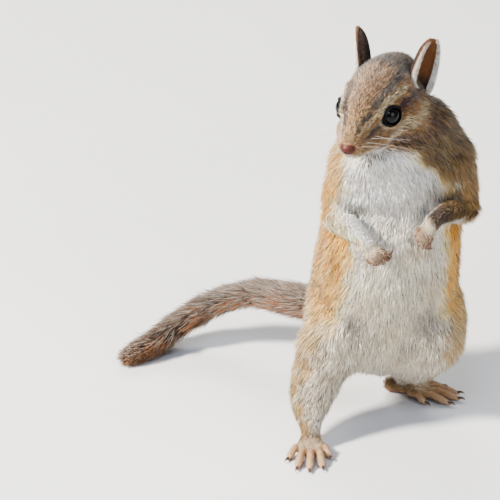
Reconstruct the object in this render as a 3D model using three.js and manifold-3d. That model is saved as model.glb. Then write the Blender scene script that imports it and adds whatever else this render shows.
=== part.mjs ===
// A western chipmunk standing upright on its hind feet, life size, in millimetres.
// +Z is up. The animal faces -Y, its right side is -X. Z = 0 is the floor under its feet.
//
// The body is described by chains: a centre line with an elliptical section at each row,
// blended into one another by a smooth minimum. Every size is out to the tips of the coat.
// The field is polygonised, thinned to few triangles, and parted into the named nodes.
import * as THREE from "three";
import Module from "manifold-3d";
import { mergeVertices } from "three/addons/utils/BufferGeometryUtils.js";

// ---------------------------------------------------------------- driving sizes
// SHAPE TABLES BEGIN
const HEAD_YAW = 25.4;                    // degrees, turned to the animal's right
const HEAD_PITCH = 8.8;                   // degrees, nose down
const HEAD_ROLL = 1.6;                    // degrees, left ear up
const EYE_MID = [-5.8, -13.0, 111.2];     // midpoint between the eyes
const EYE_R = 3.35;                       // eyeball radius
const EYE_POS = [0.3, 7.2, 0.0];          // eyeball centre in the head: forward, outward, up
const EYE_AXIS = [0.46, 0.87, 0.18];      // the way an eye looks: forward, outward, up
const ORBIT = [3.3, 3.75];                // the dish round an eye: how far out its centre is, and its radius
const NOSE = [15.9, 0.0, -4.0, 1.75, 2.0, 1.5];   // nose pad: forward, outward, up, and its three radii
// Head rows: forward, outward, up, half width, half height, coat depth.
const CRANIUM = [
  [-20.5, 0.0, 0.0, 8.2, 8.4, 2.6],
  [-15.5, 0.0, -0.2, 10.8, 10.3, 2.2],
  [-10.0, 0.0, -0.2, 11.2, 10.8, 1.8],
  [-4.5, 0.0, -0.6, 9.8, 10.3, 1.5],
  [0.0, 0.0, -1.1, 8.2, 9.3, 1.2],
  [4.5, 0.0, -2.0, 6.8, 7.8, 1.0],
  [8.5, 0.0, -3.0, 5.4, 6.2, 0.8],
  [12.5, 0.0, -3.8, 3.9, 4.6, 0.6],
  [15.0, 0.0, -4.2, 2.5, 3.0, 0.4]
];
const CHEEK = [[-9.0, 7.2, -4.8, 5.2, 6.0, 2.0], [-2.0, 6.2, -5.6, 4.5, 4.5, 1.6], [4.0, 5.2, -5.6, 4.0, 3.8, 1.1]];
const WHISKER_PAD = [[6.5, 4.3, -5.4, 3.4, 3.3, 0.9], [11.5, 2.7, -5.6, 2.9, 2.5, 0.6], [13.9, 1.4, -5.6, 1.8, 1.7, 0.4]];
const JAW = [[-8.0, 0.0, -7.6, 7.6, 5.0, 2.0], [2.0, 0.0, -7.8, 5.2, 3.5, 1.3], [9.0, 0.0, -8.1, 3.0, 2.1, 0.8], [11.6, 0.0, -7.9, 1.8, 1.4, 0.5]];
const BROW = [[5.5, 4.6, 2.2, 2.0, 1.7, 0.8], [1.5, 5.7, 3.8, 2.3, 2.0, 0.9], [-3.5, 6.6, 4.3, 2.7, 2.5, 1.2]];
// Ear: base and tip in the head (forward, outward, up), the way it opens, and the cup's radii.
const EAR_BASE = [-16.8, 10.4, 1.0];
const EAR_TIP = [-22.7, 13.5, 14.2];
const EAR_OPEN = [0.36, 0.93, 0.10];
const EAR_CUP = [4.2, 10.2, 3.4];          // half width, half height, depth
const EAR_THICK = 1.25;
const EAR_COAT = 0.3;
// Rows in the row frame: x, y, z, half width, half depth, coat depth.
const TRUNK = [
  [-0.6, 11.0, 27.0, 15.0, 14.5, 3.4],
  [-0.6, 10.5, 32.0, 20.6, 20.0, 3.6],
  [-0.4, 7.8, 38.5, 22.8, 23.6, 3.6],
  [0.3, 5.0, 48.0, 23.2, 24.2, 3.6],
  [1.5, 4.6, 58.0, 22.6, 22.9, 3.6],
  [3.1, 4.6, 69.0, 21.6, 20.8, 3.6],
  [4.7, 3.8, 80.0, 21.2, 18.4, 3.6],
  [5.4, 2.6, 89.5, 20.2, 16.6, 3.6],
  [4.9, 0.6, 98.0, 17.6, 14.8, 3.4],
  [3.2, -2.4, 105.0, 13.8, 12.6, 3.0],
  [1.0, -5.4, 109.5, 10.2, 9.6, 2.6]
];
const THROAT = [[1.5, -8.0, 87.0, 14.0, 8.0, 3.2], [-1.0, -11.5, 95.5, 9.8, 6.6, 2.6]];
const ARM_L = [
  [19.0, 0.5, 90.0, 7.6, 8.6, 3.2],
  [22.4, -1.2, 82.0, 6.2, 7.6, 3.0],
  [23.9, -3.8, 75.0, 4.7, 5.4, 2.3]
];
const FOREARM_L = [
  [24.0, -4.4, 75.4, 4.4, 4.6, 2.0],
  [20.6, -11.5, 76.8, 3.7, 4.0, 1.5],
  [16.4, -17.8, 77.8, 2.8, 2.9, 0.9],
  [14.6, -20.1, 77.4, 2.5, 2.5, 0.7]
];
const ARM_R = [
  [-8.4, 0.0, 89.0, 8.2, 9.0, 3.2],
  [-12.6, -3.6, 80.5, 6.9, 8.0, 3.0],
  [-14.9, -8.4, 74.5, 4.9, 5.6, 2.3]
];
const FOREARM_R = [
  [-14.9, -9.2, 74.2, 4.4, 4.6, 2.0],
  [-11.6, -15.0, 73.0, 3.7, 4.0, 1.5],
  [-7.6, -19.4, 71.0, 2.9, 3.0, 0.9],
  [-6.4, -20.6, 69.9, 2.5, 2.5, 0.7]
];
// Hand: wrist, knuckle line centre, the way the finger row runs, and the way the fingers curl.
const HAND_L = [[14.2, -20.4, 77.0], [11.3, -22.4, 73.4], [0.86, 0.16, -0.48], [0.10, 0.42, -0.90]];
const HAND_R = [[-6.2, -20.8, 69.6], [-3.4, -22.6, 66.6], [0.52, 0.20, 0.83], [0.80, 0.46, -0.38]];
const PALM = [2.4, 1.75, 0.6];            // half width, half thickness, coat depth
const FINGERS = [[-2.5, -0.5, 0.86], [-0.9, 0.15, 1.0], [0.85, 0.15, 1.0], [2.45, -0.45, 0.88]];  // place along the row, set forward, size
const FINGER_R = 0.98;
const THIGH_L = [
  [10.0, 11.0, 34.0, 13.5, 14.5, 3.6],
  [12.8, 2.0, 34.0, 12.6, 13.4, 3.6],
  [14.2, -4.4, 32.0, 10.4, 11.4, 3.4]
];
const SHANK_L = [
  [13.8, -3.0, 28.5, 9.2, 9.0, 3.2],
  [11.4, 5.0, 18.5, 7.6, 7.4, 2.6],
  [8.6, 12.4, 11.6, 4.9, 4.8, 1.6],
  [6.2, 17.4, 6.6, 3.1, 3.4, 0.8]
];
const THIGH_R = [
  [-9.2, 9.5, 34.0, 13.2, 14.5, 3.6],
  [-11.6, 0.0, 33.5, 12.8, 13.6, 3.6],
  [-14.6, -6.0, 32.0, 10.6, 11.6, 3.4]
];
const SHANK_R = [
  [-16.9, -7.0, 28.0, 10.1, 10.2, 3.2],
  [-20.4, -9.6, 20.6, 8.6, 8.6, 2.8],
  [-22.4, -13.0, 14.4, 6.9, 6.7, 2.2],
  [-23.2, -17.0, 9.4, 4.5, 4.5, 1.3],
  [-22.9, -19.8, 6.0, 3.1, 3.3, 0.8]
];
// Foot, drawn for a foot that points forward from its ankle at the origin: forward, outward, up.
const FOOT = [[-3.8, 0.2, 3.0, 2.8, 2.9, 0.7], [0.3, 0.2, 3.5, 3.3, 3.2, 0.7], [6.2, 0.0, 2.3, 4.9, 2.3, 0.5]];
// Toes: root forward and outward, tip forward and outward.
const TOES = [[3.6, -3.4, 9.4, -6.6], [6.4, -2.7, 16.6, -4.6], [7.2, -0.4, 18.6, -0.6], [6.8, 1.8, 17.4, 3.4], [4.6, 3.5, 11.2, 6.6]];
const TOE_R = 1.32;
const FOOT_L = [6.2, 18.0, 74];           // ankle x, y and the way it points, degrees out from forward
const FOOT_R = [-22.8, -19.4, -4];
const TAIL = [
  [0.0, 21.0, 25.5, 8.4, 7.6, 4.2],
  [-6.0, 30.5, 22.6, 7.2, 6.4, 4.2],
  [-15.5, 36.5, 21.0, 6.8, 6.4, 4.2],
  [-27.0, 41.5, 21.2, 6.5, 5.8, 4.0],
  [-39.5, 47.5, 20.6, 6.2, 4.6, 3.7],
  [-51.5, 52.0, 15.6, 6.4, 4.7, 3.8],
  [-62.0, 51.5, 9.8, 6.6, 4.7, 3.9],
  [-70.5, 47.0, 5.2, 5.8, 4.5, 3.6],
  [-76.5, 42.0, 3.5, 4.2, 3.8, 3.0],
  [-80.5, 38.0, 2.9, 2.2, 2.4, 1.7]
];
// SHAPE TABLES END
const GAP = 0.4;                          // between neighbouring solids, mm

// ---------------------------------------------------------------- small vector helpers
const DEG = Math.PI / 180;
const add = (a, b, s = 1) => [a[0] + s * b[0], a[1] + s * b[1], a[2] + s * b[2]];
const sub = (a, b) => [a[0] - b[0], a[1] - b[1], a[2] - b[2]];
const dot = (a, b) => a[0] * b[0] + a[1] * b[1] + a[2] * b[2];
const cross = (a, b) => [a[1] * b[2] - a[2] * b[1], a[2] * b[0] - a[0] * b[2], a[0] * b[1] - a[1] * b[0]];
const unit = (a) => { const l = Math.hypot(...a) || 1; return [a[0] / l, a[1] / l, a[2] / l]; };
const away = (a, n) => unit(add(a, n, -dot(a, n)));

const yaw = HEAD_YAW * DEG, pitch = HEAD_PITCH * DEG, roll = HEAD_ROLL * DEG;
const HF = [-Math.sin(yaw) * Math.cos(pitch), -Math.cos(yaw) * Math.cos(pitch), -Math.sin(pitch)];
const LEVEL = [Math.cos(yaw), -Math.sin(yaw), 0], PLUMB = cross(HF, LEVEL);
const HL = add(LEVEL.map((c) => c * Math.cos(roll)), PLUMB, Math.sin(roll));
const HU = add(PLUMB.map((c) => c * Math.cos(roll)), LEVEL, -Math.sin(roll));
const inHead = (s, w, h) => add(add(add(EYE_MID, HF, s), HL, w), HU, h);

// ---------------------------------------------------------------- fields
// One span of a chain: an elliptical section that runs from one row to the next.
function span(p, q, side) {
  const d = sub(q, p), len = Math.hypot(d[0], d[1], d[2]) || 1e-6, dir = d.map((c) => c / len);
  const s = away(side, dir), n = cross(dir, s);
  const R = Math.max(p[3], p[4], q[3], q[4]);
  return { p, q, len, dir, s, n, mid: [(p[0] + q[0]) / 2, (p[1] + q[1]) / 2, (p[2] + q[2]) / 2], reach: len / 2 + R };
}
function spanField(g, x, y, z) {
  const dx = x - g.p[0], dy = y - g.p[1], dz = z - g.p[2];
  const along = dx * g.dir[0] + dy * g.dir[1] + dz * g.dir[2];
  const t = Math.min(1, Math.max(0, along / g.len));
  const a = g.p[3] + (g.q[3] - g.p[3]) * t, b = g.p[4] + (g.q[4] - g.p[4]) * t, c = Math.min(a, b);
  const u = dx * g.s[0] + dy * g.s[1] + dz * g.s[2], v = dx * g.n[0] + dy * g.n[1] + dz * g.n[2], w = along - t * g.len;
  const rho = Math.sqrt(u * u + v * v + w * w);
  if (rho < 1e-6) return -c;
  const k = Math.sqrt((u / a) ** 2 + (v / b) ** 2 + (w / c) ** 2);
  return rho - rho / k;
}
// A smooth curve through the rows, with the sizes carried along it.
function through(rows, steps) {
  const out = [];
  for (let i = 0; i + 1 < rows.length; i++) {
    const p0 = rows[Math.max(0, i - 1)], p1 = rows[i], p2 = rows[i + 1], p3 = rows[Math.min(rows.length - 1, i + 2)];
    for (let j = 0; j < steps; j++) {
      const t = j / steps;
      out.push(p1.map((_, k) => 0.5 * (2 * p1[k] + (p2[k] - p0[k]) * t + (2 * p0[k] - 5 * p1[k] + 4 * p2[k] - p3[k]) * t * t + (3 * p1[k] - p0[k] - 3 * p2[k] + p3[k]) * t * t * t)));
    }
  }
  out.push(rows[rows.length - 1].slice());
  return out;
}
function chain(rows, side, blend, steps = 3) {
  const pts = steps > 1 ? through(rows, steps) : rows;
  const spans = [];
  for (let i = 0; i + 1 < pts.length; i++) spans.push(span(pts[i], pts[i + 1], side));
  return { spans, blend };
}
function smin(a, b, k) {
  const h = Math.max(k - Math.abs(a - b), 0) / k;
  return Math.min(a, b) - h * h * k * 0.25;
}
function chainField(c, x, y, z, cap) {
  let d = cap;
  for (const g of c.spans) {
    const far = Math.hypot(x - g.mid[0], y - g.mid[1], z - g.mid[2]) - g.reach;
    if (far < d) d = Math.min(d, spanField(g, x, y, z));
  }
  return d;
}
const FAR = 60;
function groupField(list, x, y, z) {
  let d = FAR;
  for (const c of list) {
    if (c.cup) { d = smin(d, cupField(c.cup, x, y, z), c.blend); continue; }
    const e = chainField(c, x, y, z, d + c.blend + 1);
    d = smin(d, e, c.blend);
  }
  return d;
}
// An ear: the back of a thin cup.
function cupField(e, x, y, z) {
  const d = [x - e.c[0], y - e.c[1], z - e.c[2]];
  const u = dot(d, e.w), t = dot(d, e.t), o = dot(d, e.o);
  const taper = 1 - 0.22 * Math.min(1.2, Math.max(-1, t / e.r[1]));
  const a = e.r[0] * taper, b = e.r[1], c = e.r[2];
  const k0 = Math.sqrt((u / a) ** 2 + (t / b) ** 2 + (o / c) ** 2), k1 = Math.sqrt((u / a / a) ** 2 + (t / b / b) ** 2 + (o / c / c) ** 2) || 1e-6;
  const shell = Math.abs(k0 * (k0 - 1) / k1) - e.thick / 2;
  const rim = o - 0.4 + 0.10 * t;
  return -smin(-shell, -rim, 0.5);
}
// A shallow dish pressed in round each eye.
function orbits(d, x, y, z) {
  for (const c of DISHES) d = -smin(-d, Math.hypot(x - c[0], y - c[1], z - c[2]) - ORBIT[1], 1.6);
  return d;
}

// ---------------------------------------------------------------- the animal
const headRow = ([s, w, h, a, b], side) => [...inHead(s, w * side, h), a, b];
const headChain = (rows, side, blend, steps) => chain(rows.map((r) => headRow(r, side)), HL, blend, steps);
function ear(side) {
  const base = inHead(EAR_BASE[0], EAR_BASE[1] * side, EAR_BASE[2]), tip = inHead(EAR_TIP[0], EAR_TIP[1] * side, EAR_TIP[2]);
  const t = unit(sub(tip, base));
  const o = away(add(add(HF.map((c) => c * EAR_OPEN[0]), HL, EAR_OPEN[1] * side), HU, EAR_OPEN[2]), t);
  const top = add(tip, t, -EAR_CUP[1]);
  return { c: top, t, o, w: cross(t, o), r: EAR_CUP, thick: EAR_THICK, base, tip };
}
const EARS = { l: ear(1), r: ear(-1) };
const eyeAt = (side) => inHead(EYE_POS[0], EYE_POS[1] * side, EYE_POS[2]);
const eyeAxis = (side) => unit(add(add(HF.map((c) => c * EYE_AXIS[0]), HL, EYE_AXIS[1] * side), HU, EYE_AXIS[2]));
const DISHES = [1, -1].map((s) => add(eyeAt(s), eyeAxis(s), ORBIT[0]));

function digits(parts, kind) {
  return parts.map((d) => chain(d, [1, 0, 0], kind, 1));
}
function hand([wrist, knuckle, row, curl]) {
  const fwd = unit(sub(knuckle, wrist)), across = away(row, fwd);
  const palmRow = (p, a, b) => [...p, a, b];
  const palm = { ...chain([palmRow(wrist, PALM[0], PALM[1] + 0.4), palmRow(knuckle, PALM[0] + 0.7, PALM[1])], across, 1.4, 1) };
  const fingers = FINGERS.map(([at, forward, size]) => {
    const r = FINGER_R, a = add(add(knuckle, across, at), fwd, forward);
    const d1 = unit(add(fwd.map((c) => c * 0.75), curl, 0.65)), d2 = unit(curl), d3 = unit(add(curl, fwd, -0.55));
    const b = add(a, d1, 2.1 * size), c = add(b, d2, 1.7 * size), e = add(c, d3, 1.3 * size);
    return [[...a, r, r], [...b, r * 0.98, r * 0.98], [...c, r * 0.85, r * 0.85], [...e, 0.42, 0.42]];
  });
  return [palm, ...digits(fingers, 0.5)];
}
function foot([x, y, turn], side) {
  const t = turn * DEG, f = [Math.sin(t), -Math.cos(t), 0], out = [Math.cos(t) * side, Math.sin(t) * side, 0];
  const at = (s, w, z) => { const p = add(add([x, y, 0], f, s), out, w); p[2] = z; return p; };
  const sole = chain(FOOT.map(([s, w, h, a, b]) => [...at(s, w, h), a, b]), out, 1.6, 3);
  const toes = TOES.map(([s0, w0, s1, w1], i) => {
    const r = i === 0 || i === 4 ? TOE_R * 0.92 : TOE_R;
    const p = (k, z) => at(s0 + (s1 - s0) * k, w0 + (w1 - w0) * k, z);
    return [[...p(0, 2.0), r, r], [...p(0.42, 2.5), r, r], [...p(0.78, 1.25), r * 0.9, r * 0.9], [...p(1.0, 0.75), 0.42, 0.42]];
  });
  return [sole, ...digits(toes, 0.7)];
}
const X = [1, 0, 0];
const GROUPS = {
  head: [
    headChain(CRANIUM, 1, 1, 4), headChain(JAW, 1, 4), headChain(BROW, 1, 2.2), headChain(BROW, -1, 2.2),
    headChain(CHEEK, 1, 3), headChain(CHEEK, -1, 3), headChain(WHISKER_PAD, 1, 2), headChain(WHISKER_PAD, -1, 2),
  ],
  ear_l: [{ cup: EARS.l, blend: 1 }],
  ear_r: [{ cup: EARS.r, blend: 1 }],
  trunk: [chain(TRUNK, X, 1, 3), chain(THROAT, X, 9)],
  arm_l: [chain(ARM_L, X, 1)],
  arm_r: [chain(ARM_R, X, 1)],
  forearm_l: [chain(FOREARM_L, [0, 0, 1], 2.5), ...hand(HAND_L)],
  forearm_r: [chain(FOREARM_R, [0, 0, 1], 2.5), ...hand(HAND_R)],
  leg_l: [chain(THIGH_L, X, 1), chain(SHANK_L, X, 5), ...foot(FOOT_L, 1)],
  leg_r: [chain(THIGH_R, X, 1), chain(SHANK_R, X, 5), ...foot(FOOT_R, -1)],
  tail: [chain(TAIL, [0.45, 0.9, 0], 1, 4)],
};
// How far each group is blended into the trunk.
const JOIN = { head: 5, arm_l: 6, arm_r: 6, leg_l: 7, leg_r: 7, tail: 6 };
const AROUND = Object.fromEntries(Object.entries(GROUPS).map(([n, list]) => [n, ballRound(list)]));
function ballRound(list) {
  const { lo, hi } = boxOf(list, 1);
  return [(lo[0] + hi[0]) / 2, (lo[1] + hi[1]) / 2, (lo[2] + hi[2]) / 2, Math.hypot(...sub(hi, lo)) / 2];
}
// The trunk with some of the groups run into it.
const joined = (names) => (x, y, z) => {
  let d = groupField(GROUPS.trunk, x, y, z);
  for (const n of names) {
    const c = AROUND[n];
    if (Math.hypot(x - c[0], y - c[1], z - c[2]) - c[3] > d + JOIN[n]) continue;
    let e = groupField(GROUPS[n], x, y, z);
    if (n === "head") e = orbits(e, x, y, z);
    d = smin(d, e, JOIN[n]);
  }
  return d;
};
const alone = (name) => (x, y, z) => groupField(GROUPS[name], x, y, z);
function boxOf(list, margin) {
  const lo = [1e9, 1e9, 1e9], hi = [-1e9, -1e9, -1e9];
  for (const c of list) {
    const pts = c.cup ? [[...c.cup.c, 11, 11]] : c.spans.flatMap((g) => [g.p, g.q]);
    for (const p of pts) for (let k = 0; k < 3; k++) { const r = Math.max(p[3], p[4]) + margin; lo[k] = Math.min(lo[k], p[k] - r); hi[k] = Math.max(hi[k], p[k] + r); }
  }
  return { lo, hi };
}
// ---------------------------------------------------------------- polygonising
// Marching tetrahedra over a box: every cube is six tetrahedra round its main diagonal.
const TETS = [[0, 5, 1, 6], [0, 1, 2, 6], [0, 2, 3, 6], [0, 3, 7, 6], [0, 7, 4, 6], [0, 4, 5, 6]];
const CORNER = [[0, 0, 0], [1, 0, 0], [1, 1, 0], [0, 1, 0], [0, 0, 1], [1, 0, 1], [1, 1, 1], [0, 1, 1]];
function polygonise(field, lo, hi, h) {
  const n = [0, 1, 2].map((k) => Math.ceil((hi[k] - lo[k]) / h) + 1);
  const at = (i, j, k) => (k * n[1] + j) * n[0] + i;
  const val = new Float32Array(n[0] * n[1] * n[2]);
  // A first pass on every fourth point says which blocks the surface can't be in.
  const m = n.map((c) => Math.ceil((c - 1) / 4) + 1), rough = new Float32Array(m[0] * m[1] * m[2]);
  for (let k = 0; k < m[2]; k++) for (let j = 0; j < m[1]; j++) for (let i = 0; i < m[0]; i++) rough[(k * m[1] + j) * m[0] + i] = field(lo[0] + 4 * i * h, lo[1] + 4 * j * h, lo[2] + 4 * k * h);
  const nearest = (i, j, k) => { let a = 1e9, b = -1e9; for (let c = 0; c < 8; c++) { const v = rough[((Math.min(m[2] - 1, (k >> 2) + (c >> 2))) * m[1] + Math.min(m[1] - 1, (j >> 2) + ((c >> 1) & 1))) * m[0] + Math.min(m[0] - 1, (i >> 2) + (c & 1))]; a = Math.min(a, v); b = Math.max(b, v); } return a > 7 * h ? a : b < -7 * h ? b : 0; };
  for (let k = 0; k < n[2]; k++) for (let j = 0; j < n[1]; j++) for (let i = 0; i < n[0]; i++) {
    const edge = i === 0 || j === 0 || k === 0 || i === n[0] - 1 || j === n[1] - 1 || k === n[2] - 1;
    let v = nearest(i, j, k) || field(lo[0] + i * h, lo[1] + j * h, lo[2] + k * h);
    if (edge) v = Math.max(v, 0.3 * h);
    if (Math.abs(v) < 0.02 * h) v = v < 0 ? -0.02 * h : 0.02 * h;
    val[at(i, j, k)] = v;
  }
  const verts = [], tris = [], seen = new Map();
  const point = (a, b) => {
    if (a > b) [a, b] = [b, a];
    const key = a * val.length + b;
    let id = seen.get(key);
    if (id === undefined) {
      const t = val[a] / (val[a] - val[b]), pa = place(a), pb = place(b);
      id = verts.length;
      verts.push([pa[0] + (pb[0] - pa[0]) * t, pa[1] + (pb[1] - pa[1]) * t, pa[2] + (pb[2] - pa[2]) * t]);
      seen.set(key, id);
    }
    return id;
  };
  const place = (a) => { const i = a % n[0], j = Math.floor(a / n[0]) % n[1], k = Math.floor(a / n[0] / n[1]); return [lo[0] + i * h, lo[1] + j * h, lo[2] + k * h]; };
  const face = (a, b, c, flip) => tris.push(flip ? [a, b, c] : [a, c, b]);
  for (let k = 0; k + 1 < n[2]; k++) for (let j = 0; j + 1 < n[1]; j++) for (let i = 0; i + 1 < n[0]; i++) {
    const ids = CORNER.map(([a, b, c]) => at(i + a, j + b, k + c));
    let neg = 0;
    for (const id of ids) if (val[id] < 0) neg++;
    if (neg === 0 || neg === 8) continue;
    for (const tet of TETS) {
      const v = tet.map((m) => ids[m]), ins = v.filter((m) => val[m] < 0), out = v.filter((m) => val[m] >= 0);
      if (!ins.length || !out.length) continue;
      // The tetrahedron's own handedness decides which way each face turns.
      const parity = (list) => { const o = list.map((m) => v.indexOf(m)); let s = 0; for (let a = 0; a < 4; a++) for (let b = a + 1; b < 4; b++) if (o[a] > o[b]) s++; return s % 2 === 1; };
      if (ins.length === 1) face(point(ins[0], out[0]), point(ins[0], out[1]), point(ins[0], out[2]), !parity([ins[0], ...out]));
      else if (ins.length === 3) face(point(out[0], ins[0]), point(out[0], ins[1]), point(out[0], ins[2]), parity([out[0], ...ins]));
      else {
        const f = !parity([...ins, ...out]), a = point(ins[0], out[0]), b = point(ins[0], out[1]), c = point(ins[1], out[1]), d = point(ins[1], out[0]);
        face(a, b, c, f); face(a, c, d, f);
      }
    }
  }
  return { verts, tris };
}

// Quadric edge collapse down to a number of triangles.
function thin(mesh, target) {
  const V = mesh.verts.map((v) => v.slice()), T = mesh.tris.map((t) => t.slice());
  const alive = new Uint8Array(T.length).fill(1), around = V.map(() => new Set());
  T.forEach((t, i) => t.forEach((v) => around[v].add(i)));
  const normal = (t, v, p) => { const q = t.map((m) => (m === v ? p : V[m])); return cross(sub(q[1], q[0]), sub(q[2], q[0])); };
  const Q = V.map(() => new Float64Array(10));
  T.forEach((t) => {
    const nn = cross(sub(V[t[1]], V[t[0]]), sub(V[t[2]], V[t[0]])), area = Math.hypot(...nn) || 1e-12, m = nn.map((c) => c / area), d = -dot(m, V[t[0]]);
    const q = [m[0] * m[0], m[0] * m[1], m[0] * m[2], m[0] * d, m[1] * m[1], m[1] * m[2], m[1] * d, m[2] * m[2], m[2] * d, d * d];
    t.forEach((v) => { for (let i = 0; i < 10; i++) Q[v][i] += q[i] * area; });
  });
  const err = (q, p) => q[0] * p[0] * p[0] + 2 * q[1] * p[0] * p[1] + 2 * q[2] * p[0] * p[2] + 2 * q[3] * p[0] + q[4] * p[1] * p[1] + 2 * q[5] * p[1] * p[2] + 2 * q[6] * p[1] + q[7] * p[2] * p[2] + 2 * q[8] * p[2] + q[9];
  function best(a, b) {
    const q = new Float64Array(10);
    for (let i = 0; i < 10; i++) q[i] = Q[a][i] + Q[b][i];
    const mid = [0, 1, 2].map((k) => (V[a][k] + V[b][k]) / 2), size = Math.hypot(...sub(V[a], V[b]));
    const w = 1e-3 * (q[0] + q[4] + q[7]) + 1e-9, m = [[q[0] + w, q[1], q[2]], [q[1], q[4] + w, q[5]], [q[2], q[5], q[7] + w]];
    const r = [-q[3] + w * mid[0], -q[6] + w * mid[1], -q[8] + w * mid[2]];
    const det = dot(m[0], cross(m[1], m[2]));
    let p = mid;
    if (Math.abs(det) > 1e-14) {
      const s = [dot(r, cross([m[0][1], m[1][1], m[2][1]], [m[0][2], m[1][2], m[2][2]])), dot([m[0][0], m[1][0], m[2][0]], cross(r, [m[0][2], m[1][2], m[2][2]])), dot([m[0][0], m[1][0], m[2][0]], cross([m[0][1], m[1][1], m[2][1]], r))].map((c) => c / det);
      if (Math.hypot(...sub(s, mid)) < 1.5 * size) p = s;
    }
    return { p, cost: Math.max(0, err(q, p)) + 1e-5 * size * size };
  }
  const heap = [], stamp = new Uint32Array(V.length);
  const push = (e) => { heap.push(e); let i = heap.length - 1; while (i) { const j = (i - 1) >> 1; if (heap[j].cost <= heap[i].cost) break; [heap[i], heap[j]] = [heap[j], heap[i]]; i = j; } };
  const pop = () => { const top = heap[0], last = heap.pop(); if (heap.length) { heap[0] = last; let i = 0; for (;;) { let j = 2 * i + 1; if (j >= heap.length) break; if (j + 1 < heap.length && heap[j + 1].cost < heap[j].cost) j++; if (heap[i].cost <= heap[j].cost) break; [heap[i], heap[j]] = [heap[j], heap[i]]; i = j; } } return top; };
  const queue = (a, b) => { const { p, cost } = best(a, b); push({ a, b, p, cost, sa: stamp[a], sb: stamp[b] }); };
  T.forEach((t) => { for (let i = 0; i < 3; i++) { const a = t[i], b = t[(i + 1) % 3]; if (a < b) queue(a, b); } });
  let count = T.length;
  while (count > target && heap.length) {
    const e = pop();
    if (e.sa !== stamp[e.a] || e.sb !== stamp[e.b]) continue;
    const { a, b, p } = e;
    const ring = (v) => { const s = new Set(); for (const i of around[v]) for (const m of T[i]) s.add(m); s.delete(v); return s; };
    const ra = ring(a), rb = ring(b);
    if (!ra.has(b)) continue;
    let shared = 0;
    for (const m of ra) if (rb.has(m)) shared++;
    if (shared !== 2) continue;
    let good = true;
    for (const [v, o] of [[a, b], [b, a]]) for (const i of around[v]) {
      if (T[i].includes(o)) continue;
      const n0 = normal(T[i], -1, p), n1 = normal(T[i], v, p), l = Math.hypot(...n0) * Math.hypot(...n1);
      if (dot(n0, n1) < 0.35 * l || Math.hypot(...n1) < 1e-4) { good = false; break; }
    }
    if (!good) continue;
    V[a] = p;
    for (let i = 0; i < 10; i++) Q[a][i] += Q[b][i];
    for (const i of [...around[b]]) {
      if (T[i].includes(a)) { alive[i] = 0; count--; for (const m of T[i]) around[m].delete(i); }
      else { T[i][T[i].indexOf(b)] = a; around[a].add(i); around[b].delete(i); }
    }
    stamp[a]++; stamp[b]++;
    for (const m of ring(a)) queue(Math.min(a, m), Math.max(a, m));
  }
  const id = new Map(), verts = [], tris = [];
  T.forEach((t, i) => { if (alive[i]) tris.push(t.map((m) => { if (!id.has(m)) { id.set(m, verts.length); verts.push(V[m]); } return id.get(m); })); });
  return { verts, tris };
}

// ---------------------------------------------------------------- solids
const wasm = await Module();
wasm.setup();
function solid({ verts, tris }) {
  return new wasm.Manifold(new wasm.Mesh({ numProp: 3, vertProperties: new Float32Array(verts.flat()), triVerts: new Uint32Array(tris.flat()) }));
}
function fromGeometry(g, matrix) {
  const c = g.clone();
  for (const k of Object.keys(c.attributes)) if (k !== "position") c.deleteAttribute(k);
  if (matrix) c.applyMatrix4(matrix);
  const m = mergeVertices(c, 1e-4), tri = m.index.array, pos = m.attributes.position, keep = [];
  for (let i = 0; i < tri.length; i += 3) if (tri[i] !== tri[i + 1] && tri[i + 1] !== tri[i + 2] && tri[i] !== tri[i + 2]) keep.push(tri[i], tri[i + 1], tri[i + 2]);
  return new wasm.Manifold(new wasm.Mesh({ numProp: 3, vertProperties: new Float32Array(pos.array), triVerts: new Uint32Array(keep) }));
}
// Everything on the far side of a plane, less the gap.
function beyond(point, normal, size = 220) {
  const n = new THREE.Vector3(...unit(normal)), q = new THREE.Quaternion().setFromUnitVectors(new THREE.Vector3(0, 0, 1), n);
  const c = new THREE.Vector3(...point).addScaledVector(n, size / 2 + GAP / 2);
  return fromGeometry(new THREE.BoxGeometry(size, size, size), new THREE.Matrix4().compose(c, q, new THREE.Vector3(1, 1, 1)));
}
const cut = (point, normal) => [beyond(point, normal), beyond(point, normal.map((c) => -c))];
const ball = (c, r, w = 28, h = 18, s = [1, 1, 1], axis = [0, 0, 1]) => {
  const q = new THREE.Quaternion().setFromUnitVectors(new THREE.Vector3(0, 1, 0), new THREE.Vector3(...unit(axis)));
  return fromGeometry(new THREE.SphereGeometry(r, w, h), new THREE.Matrix4().compose(new THREE.Vector3(...c), q, new THREE.Vector3(...s)));
};
const floor = (() => { const b = fromGeometry(new THREE.BoxGeometry(400, 400, 400), new THREE.Matrix4().makeTranslation(0, 0, 200)); return b; })();

const noseAt = inHead(NOSE[0], NOSE[1], NOSE[2]);
// Planes that part the body: a point on each and its normal.
const HEAD_PLANE = [inHead(-12, 0, -8.4), add(HF.map((c) => c * 0.62), HU, 0.78)];
const NECK_PLANE = [[5, 0, 93.5], [-0.05, -0.16, 0.98]];
const ELBOW_L = [[23.8, -5.4, 75.2], [-0.28, -0.86, -0.42]], WRIST_L = [HAND_L[0], sub(HAND_L[1], FOREARM_L[1].slice(0, 3))];
const ELBOW_R = [[-15.2, -10.0, 74.0], [0.42, -0.72, -0.55]], WRIST_R = [HAND_R[0], sub(HAND_R[1], FOREARM_R[1].slice(0, 3))];
const KNEE_L = [[13.5, 0.0, 22.5], [-0.10, 0.50, -0.86]], ANKLE_L = [[6.2, 17.4, 6.9], [0.0, -0.15, -1]];
const KNEE_R = [[-18.2, -7.6, 26.5], [-0.28, -0.24, -0.93]], ANKLE_R = [[-22.9, -19.8, 6.7], [0.0, -0.15, -1]];

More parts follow.
